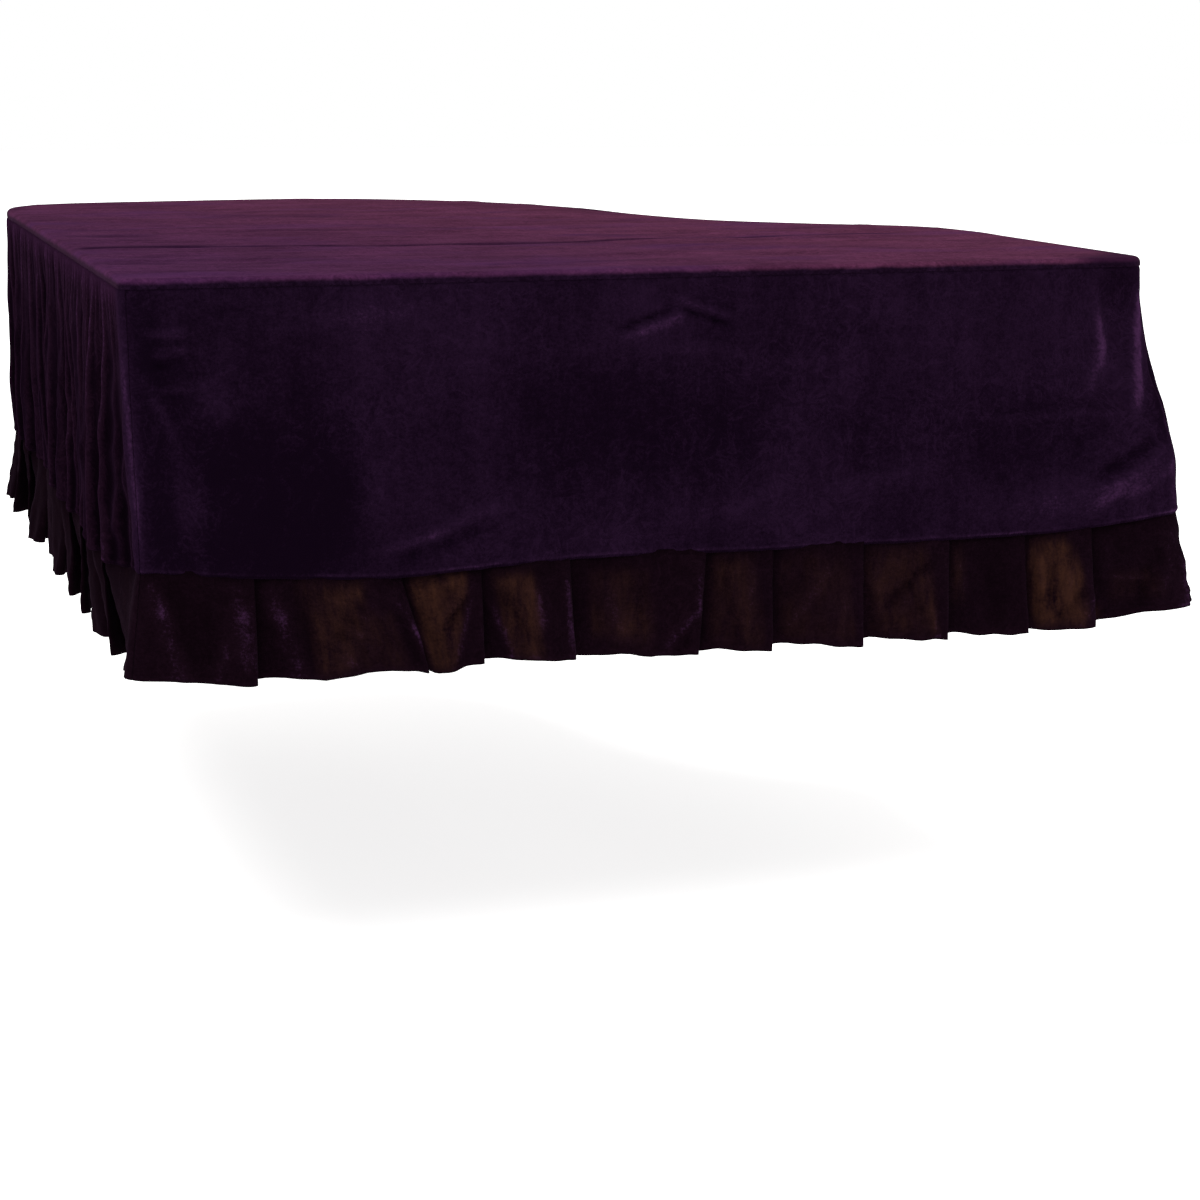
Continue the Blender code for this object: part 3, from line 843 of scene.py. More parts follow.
def seam_shade(station, depth):
    """A painted highlight along the roll above the seam, and a painted shade where the cloth dips into it."""
    from_seam = around(SEAM_DEPTH, station) - depth
    uneven = 0.75 + 0.45 * waves(station, 0.0 * depth, 0.16, seed=51)
    line = SEAM_LINE * hill(from_seam - SEAM_LINE_ABOVE, SEAM_LINE_WIDTH) * uneven
    return line - SEAM_DARK * hill(from_seam, SEAM_TUCK_WIDTH)


def drop_pile_and_light(station, depth):
    """How much lighter or darker a drop is: brushed pile, painted highlights on raised folds, painted shade in
    dents.
    """
    # Painted highlights on raised creases and painted shade in their dents; the zones are brushed pile and
    # painted light.
    creases = hanging_ridges(station, depth, FRONT_CREASES + SPINE_FOLDS) / CREASE_FULL
    zones = hanging_ridges(station, depth, FRONT_PILE_AND_LIGHT)
    side = side_share(station)
    # Sides: painted highlights on fold crests, painted shade in valleys and lower down, painted sheen near the
    # rim.
    folds = SIDE_FOLD_SHADE * side_folds(station, depth) / SIDE_FOLD_HEIGHT
    folds += GATHER_SHADE * around(GATHERS, station) + SIDE_RIM_SHEEN * hill(depth, SIDE_RIM_REACH)
    folds -= SIDE_SHADE * smooth_step(0.0, SIDE_SHADE_REACH, depth)
    # Painted highlight above the seam and painted shade in it, fainter round the sides.
    near_seam = seam_shade(station, depth) * (1 - SIDE_SEAM_FAINT * side)
    return np.clip(creases + zones + side * folds, DARKEST, PALEST) + near_seam


print("shade of the drops from", DARKEST, "to", PALEST)

# %% The four drops
BENT_END = station_at(0.335, 0.35)
TAIL_END = station_at(-0.69, 0.72)
DROP_COLUMN_STEP = 0.0046
DROP_ROWS = 74
DROP_CLOSENESS = 0.7
LAP = 0.004
TUCK_UP = 0.0030
TUCK_BEHIND = 0.0014
TUCK_EASED = 0.007
TUCK_FULL = 0.0005
PIECE_GAP = 0.0003


def add_drop(name, start, end, node):
    """One length of the drop, from just behind the rim to the seam above the ruffle."""
    count = round((end - start) / DROP_COLUMN_STEP)
    station = np.linspace(start - LAP, end - PIECE_GAP / 2, count)[None, :]
    share = close_at_ends(DROP_ROWS, DROP_CLOSENESS)[:, None]
    highest = RIM_DEPTH - TUCK_UP
    seam = around(SEAM_DEPTH, station)
    depth = highest + share * (seam - highest)
    station = np.broadcast_to(station, depth.shape)
    behind = smooth_step(RIM_DEPTH + TUCK_EASED, RIM_DEPTH + TUCK_FULL, depth)
    lift = drop_relief(station, depth) * (1 - behind) - lapped(station, start)
    lift -= behind * (TUCK_BEHIND + GATHER_AT_RIM * around(GATHERS, station))
    values = {
        "brushed": drop_pile_and_light(station, depth),
        "turned": side_share(station),
        "from_seam": seam - depth,
    }
    obj, cut = add_cloth(name, wall(station, depth, lift), node, values)
    return obj


drops = [
    add_drop("velvet_front_drop", 0.0, RIGHT_CORNER, "front_drop"),
    add_drop("velvet_bent_drop", RIGHT_CORNER, BENT_END, "bent_drop"),
    add_drop("velvet_tail_drop", BENT_END, TAIL_END, "tail_drop"),
    add_drop("velvet_spine_drop", TAIL_END, LENGTH, "spine_drop"),
]

# %% [markdown]
# ## The ruffle
#
# The ruffle is a strip folded into knife pleats and sewn under the bottom of the drop. Seen from above, one
# pleat is a flat Z: the cloth comes forward to the folded edge, turns back under itself, turns again and goes
# on behind. A displaced plane can't fold back over itself, so each row of the ruffle is drawn as that zigzag,
# rounded by a curve that never overshoots its corner points, and the rows open out from the seam to the hem.

# %% Pleats
PLEAT_PITCH = 0.140
PLEAT_OVERLAP = 0.031
PLEAT_LAYER = SHEET + 0.0007
PLEAT_LIFT = 0.021
PLEAT_LEAN = -0.007
PLEAT_SINK = 0.007
PLEAT_CLEAR = 0.012
PLEAT_TURN_AT_HEM = 0.0045
PLEAT_LIFT_POWER = 1.2
PLEAT_MIDDLE = 0.42
PLEAT_RISE = 0.62
PLEAT_MEETS = 0.94
END_LIFT = 0.012
END_STEP = 0.003
END_RISE = 0.7

# Pleats of the front ruffle: x of the folded edge, overlap, lift and sideways lean of the edge at the hem
FRONT_PLEATS = (
    (-0.588, 0.024, 0.026, -0.002),
    (-0.386, 0.030, 0.020, 0.036),
    (-0.271, 0.020, 0.022, 0.000),
    (-0.141, 0.026, 0.020, 0.004),
    (0.066, 0.030, 0.014, -0.016),
    (0.170, 0.030, 0.030, -0.012),
    (0.314, 0.032, 0.036, -0.013),
    (0.454, 0.030, 0.036, -0.013),
    (0.578, 0.032, 0.034, -0.002),
    (0.655, 0.024, 0.030, -0.004),
)


def even_pleats(start, end):
    """Pleats of about the usual pitch from start to end, a little uneven."""
    count = round((end - start) / PLEAT_PITCH)
    pleats = []
    for number in range(1, count):
        edge = start + (end - start) * number / count + 0.012 * math.sin(2.4 * number + start)
        overlap = PLEAT_OVERLAP * (1 + 0.2 * math.sin(1.7 * number + 1.0))
        lift = PLEAT_LIFT * (1 + 0.35 * math.sin(2.9 * number + 2.0))
        pleats.append((edge, overlap, lift, PLEAT_LEAN))
    return pleats


def pleat_row(pleats, start, end, share):
    """Corner points of one row of the ruffle: station and outward lift, share of the way to the hem."""
    turn = PLEAT_LAYER / 2 + PLEAT_TURN_AT_HEM * share
    end_lift = END_LIFT * share
    points = [(start, end_lift), (start + END_STEP, end_lift)]
    leave = start + PLEAT_CLEAR
    last_back = end_lift
    for at_seam, overlap, lift, lean in pleats:
        edge = at_seam + lean * share
        front = lift * share**PLEAT_LIFT_POWER
        middle = PLEAT_MIDDLE * front - PLEAT_LAYER
        back_layer = -2 * PLEAT_LAYER - PLEAT_SINK * share
        hidden = edge - overlap
        meet = hidden - PLEAT_CLEAR
        points += [
            ((leave + meet) / 2, last_back + PLEAT_RISE * (front - last_back)),
            (meet, last_back + PLEAT_MEETS * (front - last_back)),
            (edge - turn, front),
            (edge, (front + middle) / 2),
            (edge - turn, middle),
            (hidden + turn, middle),
            (hidden, (middle + back_layer) / 2),
            (hidden + turn, back_layer),
            (edge + PLEAT_CLEAR, back_layer),
        ]
        leave = edge + PLEAT_CLEAR
        last_back = back_layer
    points += [
        ((leave + end) / 2, last_back + END_RISE * (end_lift - last_back)),
        (end - END_STEP, end_lift),
        (end, end_lift),
    ]
    return np.array(points)


def rounded(corners, steps):
    """A smooth curve inside a zigzag: between the middles m and n of two sides it is
    (1 - t)^2 m + 2 t (1 - t) c + t^2 n, where c is their corner.
    """
    middles = (corners[1:] + corners[:-1]) / 2
    t = (np.arange(steps) / steps)[None, :, None]
    m, c, n = middles[:-1, None], corners[1:-1, None], middles[1:, None]
    curve = (1 - t) ** 2 * m + 2 * t * (1 - t) * c + t**2 * n
    return np.concatenate([corners[:1], curve.reshape(-1, 2), middles[-1:], corners[-1:]])


print("pleats along the front:", len(FRONT_PLEATS))

# %% Creases of the front ruffle
# Creases in mm: start x and depth, end x and depth, width, height
RUFFLE_CREASES = (
    (-727, 392, -706, 450, 10, 5.6),
    (-712, 425, -684, 540, 14, 5.2),
    (-700, 400, -665, 540, 14, -5),
    (-648, 535, -628, 480, 7, 5),
    (-656, 430, -650, 520, 10, -4),
    (-614, 402, -608, 460, 13, 4.4),
    (-608, 440, -604, 525, 14, 4.8),
    (-569, 398, -556, 470, 10, 4.8),
    (-556, 440, -528, 545, 11, 5),
    (-528, 420, -512, 530, 10, -4),
    (-431, 420, -495, 446, 5, 4),
    (-420, 424, -460, 500, 6, 5),
    (-455, 480, -466, 546, 7, 5),
    (-428, 430, -482, 510, 6, -4),
    (-405, 425, -366, 490, 6, 4.4),
    (-376, 475, -338, 540, 8, 6),
    (-390, 455, -360, 540, 10, -4),
    (-280, 424, -328, 468, 5, 4.4),
    (-284, 430, -316, 545, 5, 5),
    (-286, 430, -334, 505, 5, -3.6),
    (-300, 420, -345, 430, 5, 3),
    (-260, 450, -222, 540, 6, 5.6),
    (-250, 430, -185, 530, 9, -4),
    (-196, 430, -182, 500, 7, 6),
    (-190, 480, -200, 545, 7, 4),
    (-149, 408, -144, 545, 5, 5.5),
    (-90, 430, -60, 530, 12, 4),
    (-40, 430, -35, 520, 10, -3.6),
    (58, 478, -12, 545, 6, 6),
    (54, 405, 50, 490, 5, 4.5),
    (40, 520, 10, 548, 8, -4),
    (139, 420, 118, 520, 7, 4),
    (90, 420, 110, 540, 8, -3),
    (270, 420, 182, 535, 7, 4.5),
    (235, 415, 205, 470, 6, -3),
    (280, 470, 260, 545, 7, 3.6),
    (424, 438, 383, 467, 5, -5),
    (388, 464, 342, 505, 5, -5),
    (381, 462, 404, 520, 5, -4),
    (425, 448, 360, 512, 6, 3.6),
    (416, 500, 424, 553, 5, 5),
    (330, 430, 345, 530, 8, 3),
    (470, 425, 478, 500, 7, 3.4),
    (520, 430, 530, 540, 16, -3),
    (597, 438, 600, 505, 5, 4.4),
    (612, 438, 610, 530, 5, -3),
    (627, 455, 626, 530, 6, 4.8),
    (643, 490, 612, 540, 5, -5.5),
    (650, 500, 632, 550, 6, 4),
    (664, 481, 718, 483, 5, 4.4),
    (668, 408, 670, 480, 4, 4),
    (750, 405, 718, 520, 7, 6),
    (736, 430, 700, 535, 10, -5.5),
    (762, 440, 748, 545, 8, 6),
)
print("creases of the front ruffle:", len(RUFFLE_CREASES))

# %% Hem of the front ruffle
# How far the hem hangs below or above its even line, in mm: x, depth
FRONT_HEM = (
    (-750, 0),
    (-660, 0),
    (-590, 3),
    (-545, -2),
    (-495, 2),
    (-435, -12),
    (-370, -10),
    (-336, 5),
    (-300, -7),
    (-270, -8),
    (-200, -3),
    (-120, 2),
    (-60, 4),
    (45, 8),
    (80, 1),
    (140, 3),
    (225, 0),
    (290, 6),
    (330, 1),
    (430, 4),
    (520, 5),
    (660, 8),
    (720, 4),
    (774, 0),
)
print("points of the hem:", len(FRONT_HEM))

# %% Relief and painted light and shade of the ruffle
HEM_WAVE = 0.0008
HEM_WAVE_PITCH = 0.045
RUFFLE_UNEVEN_PITCH = 0.03
FLUTE = 0.0034
FLUTE_PITCH = 0.055
FINE_FLUTE = 0.0006
FINE_FLUTE_PITCH = 0.018
TUCKED_SHARE = 0.10
LOOSE_SHARE = 0.12
CREASE_SHADE_LIMIT = 1.2
EDGE_SHADE = 1.0
EDGE_SHADE_WIDTH = 0.008
EDGE_SHEEN = 0.35
EDGE_SHEEN_BACK = 0.004
EDGE_SHEEN_WIDTH = 0.003
HEM_SHEEN = 0.35
HEM_SHEEN_AT = 0.965
HEM_SHEEN_SHARE = 0.018
RUFFLE_SIDE_SHADE = 1.1
TUCKED_IN = 0.0022


def ruffle_relief(station, depth, below):
    """Fanned creases listed along the front, and soft flutes that grow towards the hem."""
    uneven = 1 + CREASE_UNEVEN * waves(station, depth, RUFFLE_UNEVEN_PITCH, seed=29)
    wrinkles = MM * uneven * ridges(station, depth, RUFFLE_CREASES, FRONT_START)
    flutes = FLUTE * waves(station, 0.35 * depth, FLUTE_PITCH, seed=31) * smooth_step(0.05, 0.9, below)
    fine = FINE_FLUTE * waves(station, 0.6 * depth, FINE_FLUTE_PITCH, seed=37)
    tucked = TUCKED_IN * (1 - smooth_step(0.0, TUCKED_SHARE, below))
    loose = wrinkles * smooth_step(0.0, LOOSE_SHARE, below) + flutes + fine
    return loose * calm_at_start(station) - tucked


def hem_drop(station, below):
    """How much further down each point hangs, growing with the square of its share of the way to the hem."""
    x, drop = MM * np.array(FRONT_HEM).T
    uneven = np.interp(station - FRONT_START, x, drop) * (1 - side_share(station))
    uneven += HEM_WAVE * waves(station, 0.0 * below, HEM_WAVE_PITCH, seed=43)
    return calm_at_start(station) * uneven * below**2


def ruffle_painted_light(pleats, station, depth, below):
    """How much lighter or darker the ruffle is painted.

    Raised creases and the folded edges get painted highlights, and the hem a painted sheen. Painted shade
    darkens the cloth under the seam, just behind each folded edge and round the sides.
    """
    brushed = ridges(station, depth, RUFFLE_CREASES, FRONT_START) / CREASE_FULL
    brushed = np.clip(brushed, -CREASE_SHADE_LIMIT, CREASE_SHADE_LIMIT) * smooth_step(0.0, LOOSE_SHARE, below)
    for at_seam, _, _, lean in pleats:
        past = station - at_seam - lean * below
        brushed -= EDGE_SHADE * np.exp(-np.clip(past, 0.0, None) / EDGE_SHADE_WIDTH) * (past > -0.001)
        sheen = hill(past + EDGE_SHEEN_BACK, EDGE_SHEEN_WIDTH) * smooth_step(0.0, 0.3, below)
        brushed += EDGE_SHEEN * sheen
    shadow = 0.9 * hill(below, 0.035) + 0.3 * hill(below, 0.15)
    hem = HEM_SHEEN * hill(below - HEM_SHEEN_AT, HEM_SHEEN_SHARE)
    return brushed - shadow + hem - RUFFLE_SIDE_SHADE * side_share(station)


print(f"hem of the ruffle {RUFFLE_DEPTH:.3f} m below its seam")

# %% [markdown]
# Light from behind comes through the ruffle where the cloth lies single, and turns those places brown, while
# the double cloth of the pleats stays dark. Real translucency would need a lamp inside the cover in every
# view. So each point of the ruffle gets a value instead, which says how strongly it is lit through, and the
# material warms its colour by that value.

# %% Where light comes through the ruffle
# Panels of light along the front: x of the left and right border at the seam and of both at the hem, the
# shares of the way down at which the light starts and ends, strength
LIT_PANELS = (
    (-0.532, -0.430, -0.505, -0.460, 0.03, 1.05, 0.66),
    (-0.440, -0.410, -0.462, -0.372, 0.30, 1.05, 0.36),
    (-0.382, -0.287, -0.346, -0.312, 0.02, 1.05, 1.05),
    (-0.262, -0.192, -0.230, -0.180, 0.06, 1.05, 0.80),
    (-0.114, -0.022, -0.112, -0.022, 0.10, 0.92, 0.36),
    (-0.022, 0.000, -0.090, -0.020, 0.40, 1.05, 0.20),
    (0.066, 0.144, 0.068, 0.152, 0.03, 1.05, 0.40),
    (0.176, 0.290, 0.178, 0.298, 0.04, 1.05, 0.28),
    (0.312, 0.420, 0.320, 0.430, 0.03, 1.05, 0.46),
    (0.455, 0.484, 0.458, 0.482, 0.04, 0.80, 0.36),
    (0.578, 0.628, 0.590, 0.668, 0.05, 1.05, 1.15),
    (0.670, 0.715, 0.670, 0.735, 0.50, 0.92, 0.30),
)
LIT_ON_SIDES = 0.12
LIT_MOST = 1.4


def lit_panels(x, share):
    """Sum of the panels of light, each soft at its borders, which run straight from the seam to the hem."""
    total = np.zeros(x.shape)
    for left, right, hem_left, hem_right, first, last, strength in LIT_PANELS:
        from_left = x - left - (hem_left - left) * share
        from_right = right + (hem_right - right) * share - x
        sides = smooth_step(-0.004, 0.012, from_left) * smooth_step(-0.004, 0.012, from_right)
        down = smooth_step(first - 0.05, first + 0.12, share) * smooth_step(last, last - 0.2, share)
        total += strength * sides * down
    return total


def light_through(pleats, station, share):
    """Strength at each point: that of its panel, less where cloth lies double, and a little patchy."""
    single = np.ones(station.shape)
    for at_seam, overlap, _, lean in pleats:
        edge = at_seam + lean * share
        doubled = edge - 0.4 * overlap
        covered = smooth_step(-0.006, 0.004, station - doubled) * smooth_step(0.010, 0.0, station - edge)
        single *= 1 - covered
    front = lit_panels(station - FRONT_START, share)
    place = front * (1 - side_share(station)) + LIT_ON_SIDES * side_share(station)
    patches = 0.92 + 0.16 * waves(station, 0.8 * share * RUFFLE_DEPTH, 0.05, seed=41)
    return np.clip(single * place * patches, 0.0, LIT_MOST)


print("panels of light:", len(LIT_PANELS))

# %% The four ruffles
RUFFLE_ROWS = 34
RUFFLE_CLOSENESS = 0.55
RUFFLE_STEPS = 5
TUCKED_UNDER = 0.007


def add_ruffle(name, start, end, pleats, node):
    """One length of the ruffle, from just under its seam to its hem."""
    shares = close_at_ends(RUFFLE_ROWS, RUFFLE_CLOSENESS)
    zigzags = [pleat_row(pleats, start - LAP, end - PIECE_GAP / 2, share) for share in shares]
    rows = np.stack([rounded(zigzag, RUFFLE_STEPS) for zigzag in zigzags])
    station, lift = rows[..., 0], rows[..., 1]
    share = np.broadcast_to(shares[:, None], station.shape)
    seam = around(SEAM_DEPTH, station)
    depth = seam + RUFFLE_DEPTH * share - TUCKED_UNDER * (1 - smooth_step(0.0, LOOSE_SHARE, share))
    depth += hem_drop(station, share)
    lift = lift + ruffle_relief(station, depth, share) - lapped(station, start)
    values = {
        "lit_through": light_through(pleats, station, share),
        "brushed": ruffle_painted_light(pleats, station, depth, share),
    }
    obj, cut = add_cloth(name, wall(station, depth, lift), node, values)
    return obj


front_pleats = [(FRONT_START + x, *sizes) for x, *sizes in FRONT_PLEATS]
ruffles = [add_ruffle("velvet_front_ruffle", 0.0, RIGHT_CORNER, front_pleats, "front_ruffle")]
side_ends = [RIGHT_CORNER, BENT_END, TAIL_END, LENGTH]
for side, start, end in zip(("bent", "tail", "spine"), side_ends, side_ends[1:]):
    pleats = even_pleats(start, end)
    ruffles.append(add_ruffle(f"velvet_{side}_ruffle", start, end, pleats, f"{side}_ruffle"))

# %% [markdown]
# ## Shader sums
#
# A material is a small graph of nodes, and sums in it are easier to read as sums. The class below wraps the
# output of a node. Its operators add Math nodes, and its method new adds any other node, so a line of Python
# such as 1 - mask * 0.5 builds the nodes that it describes.

# %% A socket that can be added and multiplied
class Wire:
    """The output of a node in a material, with operators that add Math nodes."""

    def __init__(self, tree, socket=None):
        self.tree = tree
        self.socket = socket

    def new(self, kind, settings, values, output=0):
        """A node of this kind: its settings are set first, then the values or links of its sockets."""
        node = self.tree.nodes.new("ShaderNode" + kind)
        for key, value in settings.items():
            setattr(node, key, value)
        for key, value in values.items():
            if isinstance(value, Wire):
                self.tree.links.new(value.socket, node.inputs[key])
            else:
                node.inputs[key].default_value = value
        return Wire(self.tree, node.outputs[output] if node.outputs else None)

    def math(self, operation, first, second=0.0):
        return self.new("Math", {"operation": operation}, {0: first, 1: second})

    def __add__(self, other):
        return self.math("ADD", self, other)

    def __sub__(self, other):
        return self.math("SUBTRACT", self, other)

    def __rsub__(self, other):
        return self.math("SUBTRACT", other, self)

    def __mul__(self, other):
        return self.math("MULTIPLY", self, other)

    def step(self, low, high):
        """0 below low, 1 above high and a smooth rise between them."""
        limits = {"Value": self, "From Min": low, "From Max": high}
        return self.new("MapRange", {"interpolation_type": "SMOOTHSTEP"}, limits)

    __radd__ = __add__
    __rmul__ = __mul__


def mix(factor, first, second):
    """Colour between first and second, as a Mix node."""
    return factor.new("Mix", {"data_type": "RGBA"}, {0: factor, 6: first, 7: second}, output=2)


def noise(vector, scale, detail=3.0, roughness=0.55, distortion=0.0):
    """Noise between 0 and 1 with this many blotches a metre."""
    values = {"Vector": vector, "Scale": scale, "Detail": detail, "Roughness": roughness}
    values["Distortion"] = distortion
    return vector.new("TexNoise", {}, values)


def scaled(vector, factors):
    """A vector with each of its parts multiplied."""
    return vector.new("VectorMath", {"operation": "MULTIPLY"}, {0: vector, 1: factors})


def part_of(vector, axis):
    """The X, Y or Z of a vector."""
    return vector.new("SeparateXYZ", {}, {"Vector": vector}, output=axis)


# %% [markdown]
# ## Velvet
#
# Velvet is dark where you look straight into its pile and pale where light glances along it. The Sheen of the
# Principled shader gives that rim of light. The pile itself lies in slightly different directions, which
# shows as blotches from a few millimetres to a hand across, so the colour mixes noise of several sizes. On
# the top the pile lies in faint streaks. A fine bump stands for the pile and the stitches of the seams. The
# colours also carry painted light: the top is painted lighter than the drops, raised folds and seams get
# painted highlights, and dents, seams and the sides get painted shade.

# %% Parts of every velvet
PILE_BUMP = 0.0007
BUMP_STRENGTH = 0.6
VELVET_ROUGHNESS = 0.75
SHEEN_ROUGHNESS = 0.42


def new_graph(name):
    """An empty material, and a wire on which its nodes are made."""
    material = bpy.data.materials.new(name)
    material.use_nodes = True
    material.node_tree.nodes.clear()
    return material, Wire(material.node_tree)


def pile(place):
    """Shade of the pile, about 0 to 1, the height of its tufts, and its grain, about -0.5 to 0.5.

    The shade adds noise of four sizes and thin pale veins, where the crushed pile parts: they lie where a
    fifth noise, bent by itself, passes through its middle value.
    """
    patches = noise(place, 3.5, detail=2.0)
    brushed = noise(place, 17.0, detail=3.0, roughness=0.6)
    blotches = noise(place, 75.0, detail=4.0, roughness=0.65)
    tufts = noise(place, 230.0, detail=4.0, roughness=0.75)
    parting = place.math("ABSOLUTE", noise(place, 24.0, detail=4.0, roughness=0.6, distortion=1.0) - 0.5)
    veins = parting.step(0.045, 0.0) * patches.step(0.3, 0.6)
    grain = (blotches - 0.5) * 0.9 + (tufts - 0.5) * 1.5
    shade = (patches - 0.5) * 0.4 + (brushed - 0.5) * 0.45 + grain * 0.9 + veins * 0.28 + 0.41
    return shade, tufts * 0.5 + blotches * 0.9 + brushed * 0.8 + veins * 0.5, grain


def finish_velvet(graph, colour, height, sheen, tint):
    """The shader of a velvet: a dull dark ground, a sheen at glancing angles and a bump of tufts."""
    bump = graph.new("Bump", {}, {"Strength": BUMP_STRENGTH, "Distance": PILE_BUMP, "Height": height})
    values = {
        "Base Color": colour,
        "Roughness": VELVET_ROUGHNESS,
        "Specular IOR Level": 0.0,
        "Sheen Weight": sheen,
        "Sheen Roughness": SHEEN_ROUGHNESS,
        "Sheen Tint": (*tint, 1.0),
        "Normal": bump,
    }
    shader = graph.new("BsdfPrincipled", {}, values)
    graph.new("OutputMaterial", {}, {"Surface": shader})


def attribute(graph, name):
    """A value that is kept at the points of the mesh."""
    return graph.new("Attribute", {"attribute_name": name}, {}, output="Fac")


def in_object(graph):
    """Place in the object, in metres."""
    return graph.new("TexCoord", {}, {}, output="Object")


# %% Velvet of the top
# The top is the same velvet as the drops. Its mauve is painted light, for pile that faces the light from above
# and is seen at a glancing angle, and it is painted lighter still towards the right and back.
NEAR_DEEP = (0.0185, 0.0046, 0.0180, 1.0)
NEAR_BRIGHT = (0.0505, 0.0137, 0.0470, 1.0)
FAR_DEEP = (0.0340, 0.0080, 0.0195, 1.0)
FAR_BRIGHT = (0.0870, 0.0224, 0.0515, 1.0)
VIOLET = (0.0420, 0.0120, 0.0560, 1.0)
TOP_SHADE_COLOUR = (0.010, 0.0025, 0.012, 1.0)
FRONT_DEEP = (0.0030, 0.0010, 0.0037, 1.0)
FRONT_BRIGHT = (0.0103, 0.0037, 0.0126, 1.0)
TOP_SHEEN = 0.035
TOP_TINT = (0.80, 0.36, 0.62)


def top_velvet():
    """Mauve above as painted light, with faint streaks, painted shade in creases and as dark as the drops on
    the rim.
    """
    material, graph = new_graph("top_velvet")
    place = in_object(graph)
    shade, height, _ = pile(place)
    streaks = noise(scaled(place, (5.0, 20.0, 1.0)), 1.0, detail=3.0, roughness=0.5)
    shade = (shade * 0.8 + 0.10 + (streaks - 0.5) * 0.9).step(0.0, 1.0)
    # Painted light: the top is lighter and redder towards its right and back.
    far = (part_of(place, "X") + part_of(place, "Y") * 0.55).step(-1.3, 0.5)
    colour = mix(far, mix(shade, NEAR_DEEP, NEAR_BRIGHT), mix(shade, FAR_DEEP, FAR_BRIGHT))
    violet = noise(scaled(place, (3.0, 8.0, 1.0)), 1.0, detail=3.0).step(0.46, 0.72)
    colour = mix(violet * 0.4, colour, VIOLET)
    # Painted shade along the crease, in the dents and where the top turns down near its edge.
    colour = mix(attribute(graph, "pressed") * 0.8, colour, TOP_SHADE_COLOUR)
    # The flat face is painted lighter than its rim, which takes the dark colours of the drops.
    dark = mix(pile(place)[0].step(0.0, 1.0), FRONT_DEEP, FRONT_BRIGHT)
    mottled = part_of(place, "Z") + (noise(place, 30.0, detail=3.0) - 0.5) * 0.005
    colour = mix(mottled.step(-0.0080, -0.0010), dark, colour)
    finish_velvet(graph, colour, height, TOP_SHEEN, TOP_TINT)
    return material


print("colours of the top, near and far:", NEAR_BRIGHT, FAR_BRIGHT)

# %% Velvet of the drops and of the ruffle
RUFFLE_DEEP = (0.0018, 0.0006, 0.0016, 1.0)
RUFFLE_BRIGHT = (0.0052, 0.0018, 0.0042, 1.0)
LIT_COLOUR = (0.0270, 0.0104, 0.0064, 1.0)
# Painted shade: the sides are the same velvet as the front, painted darker and redder.
SHADED_SIDE_DEEP = (0.0011, 0.0003, 0.0011, 1.0)
SHADED_SIDE_BRIGHT = (0.0070, 0.0023, 0.0060, 1.0)
PAINTED_HIGHLIGHT = (0.0380, 0.0130, 0.0430, 1.0)
PILE_AND_LIGHT_WEIGHT = 0.42
STITCH_LENGTH = 0.0034
STITCH_FROM_SEAM = 0.0032
STITCH_DEPTH = 0.8
DROP_SHEEN = 0.020
DROP_TINT = (0.62, 0.25, 0.66)
RUFFLE_SHEEN = 0.018
RUFFLE_TINT = (0.62, 0.36, 0.60)


def on_cloth(graph):
    """Place along the cloth in metres, from its UV map."""
    return graph.new("UVMap", {"uv_map": "cloth"}, {})


def stitches(graph, place):
    """A row of small dents just above the seam: a wave along the cloth, kept to a narrow band."""
    wave = graph.math("SINE", part_of(place, "X") * (2 * math.pi / STITCH_LENGTH)) * 0.5 + 0.5
    off = graph.math("ABSOLUTE", attribute(graph, "from_seam") - STITCH_FROM_SEAM)
    return wave.step(0.2, 0.8) * off.step(0.0011, 0.0003)


def drop_velvet():
    """Nearly black indigo in blotches and upright strokes, and paler where the pile is brushed or raised."""
    material, graph = new_graph("drop_velvet")
    place = on_cloth(graph)
    shade, height, grain = pile(place)
    strokes = noise(scaled(place, (26.0, 5.0, 1.0)), 1.0, detail=4.0, roughness=0.6)
    brushed = attribute(graph, "brushed")
    # Brushed pile and painted light and shade, kept at the points of the mesh, lighten or darken the pile.
    shade = (shade + (strokes - 0.5) * 0.6 + brushed * PILE_AND_LIGHT_WEIGHT).step(-0.1, 1.1)
    front = mix(shade, FRONT_DEEP, FRONT_BRIGHT)
    side = mix(shade, SHADED_SIDE_DEEP, SHADED_SIDE_BRIGHT)
    # Painted shade: the sides take the darker, redder colours.
    colour = mix(attribute(graph, "turned"), front, side)
    # Painted highlight on raised folds, sheen streaks and grainy pile.
    colour = mix((brushed + grain * 1.6 + (strokes - 0.5)).step(0.6, 2.6), colour, PAINTED_HIGHLIGHT)
    up = part_of(in_object(graph), "Z")
    # Painted sheen: near the rim the sides take a tint of the top's mauve.
    painted_rim_sheen = (up + (strokes - 0.5) * 0.05).step(-0.055, -0.010) * attribute(graph, "turned")
    colour = mix(painted_rim_sheen * 0.4, colour, NEAR_DEEP)
    sewn = stitches(graph, place)
    colour = mix(sewn * 0.5, colour, FRONT_DEEP)
    finish_velvet(graph, colour, height - sewn * STITCH_DEPTH, DROP_SHEEN, DROP_TINT)
    return material


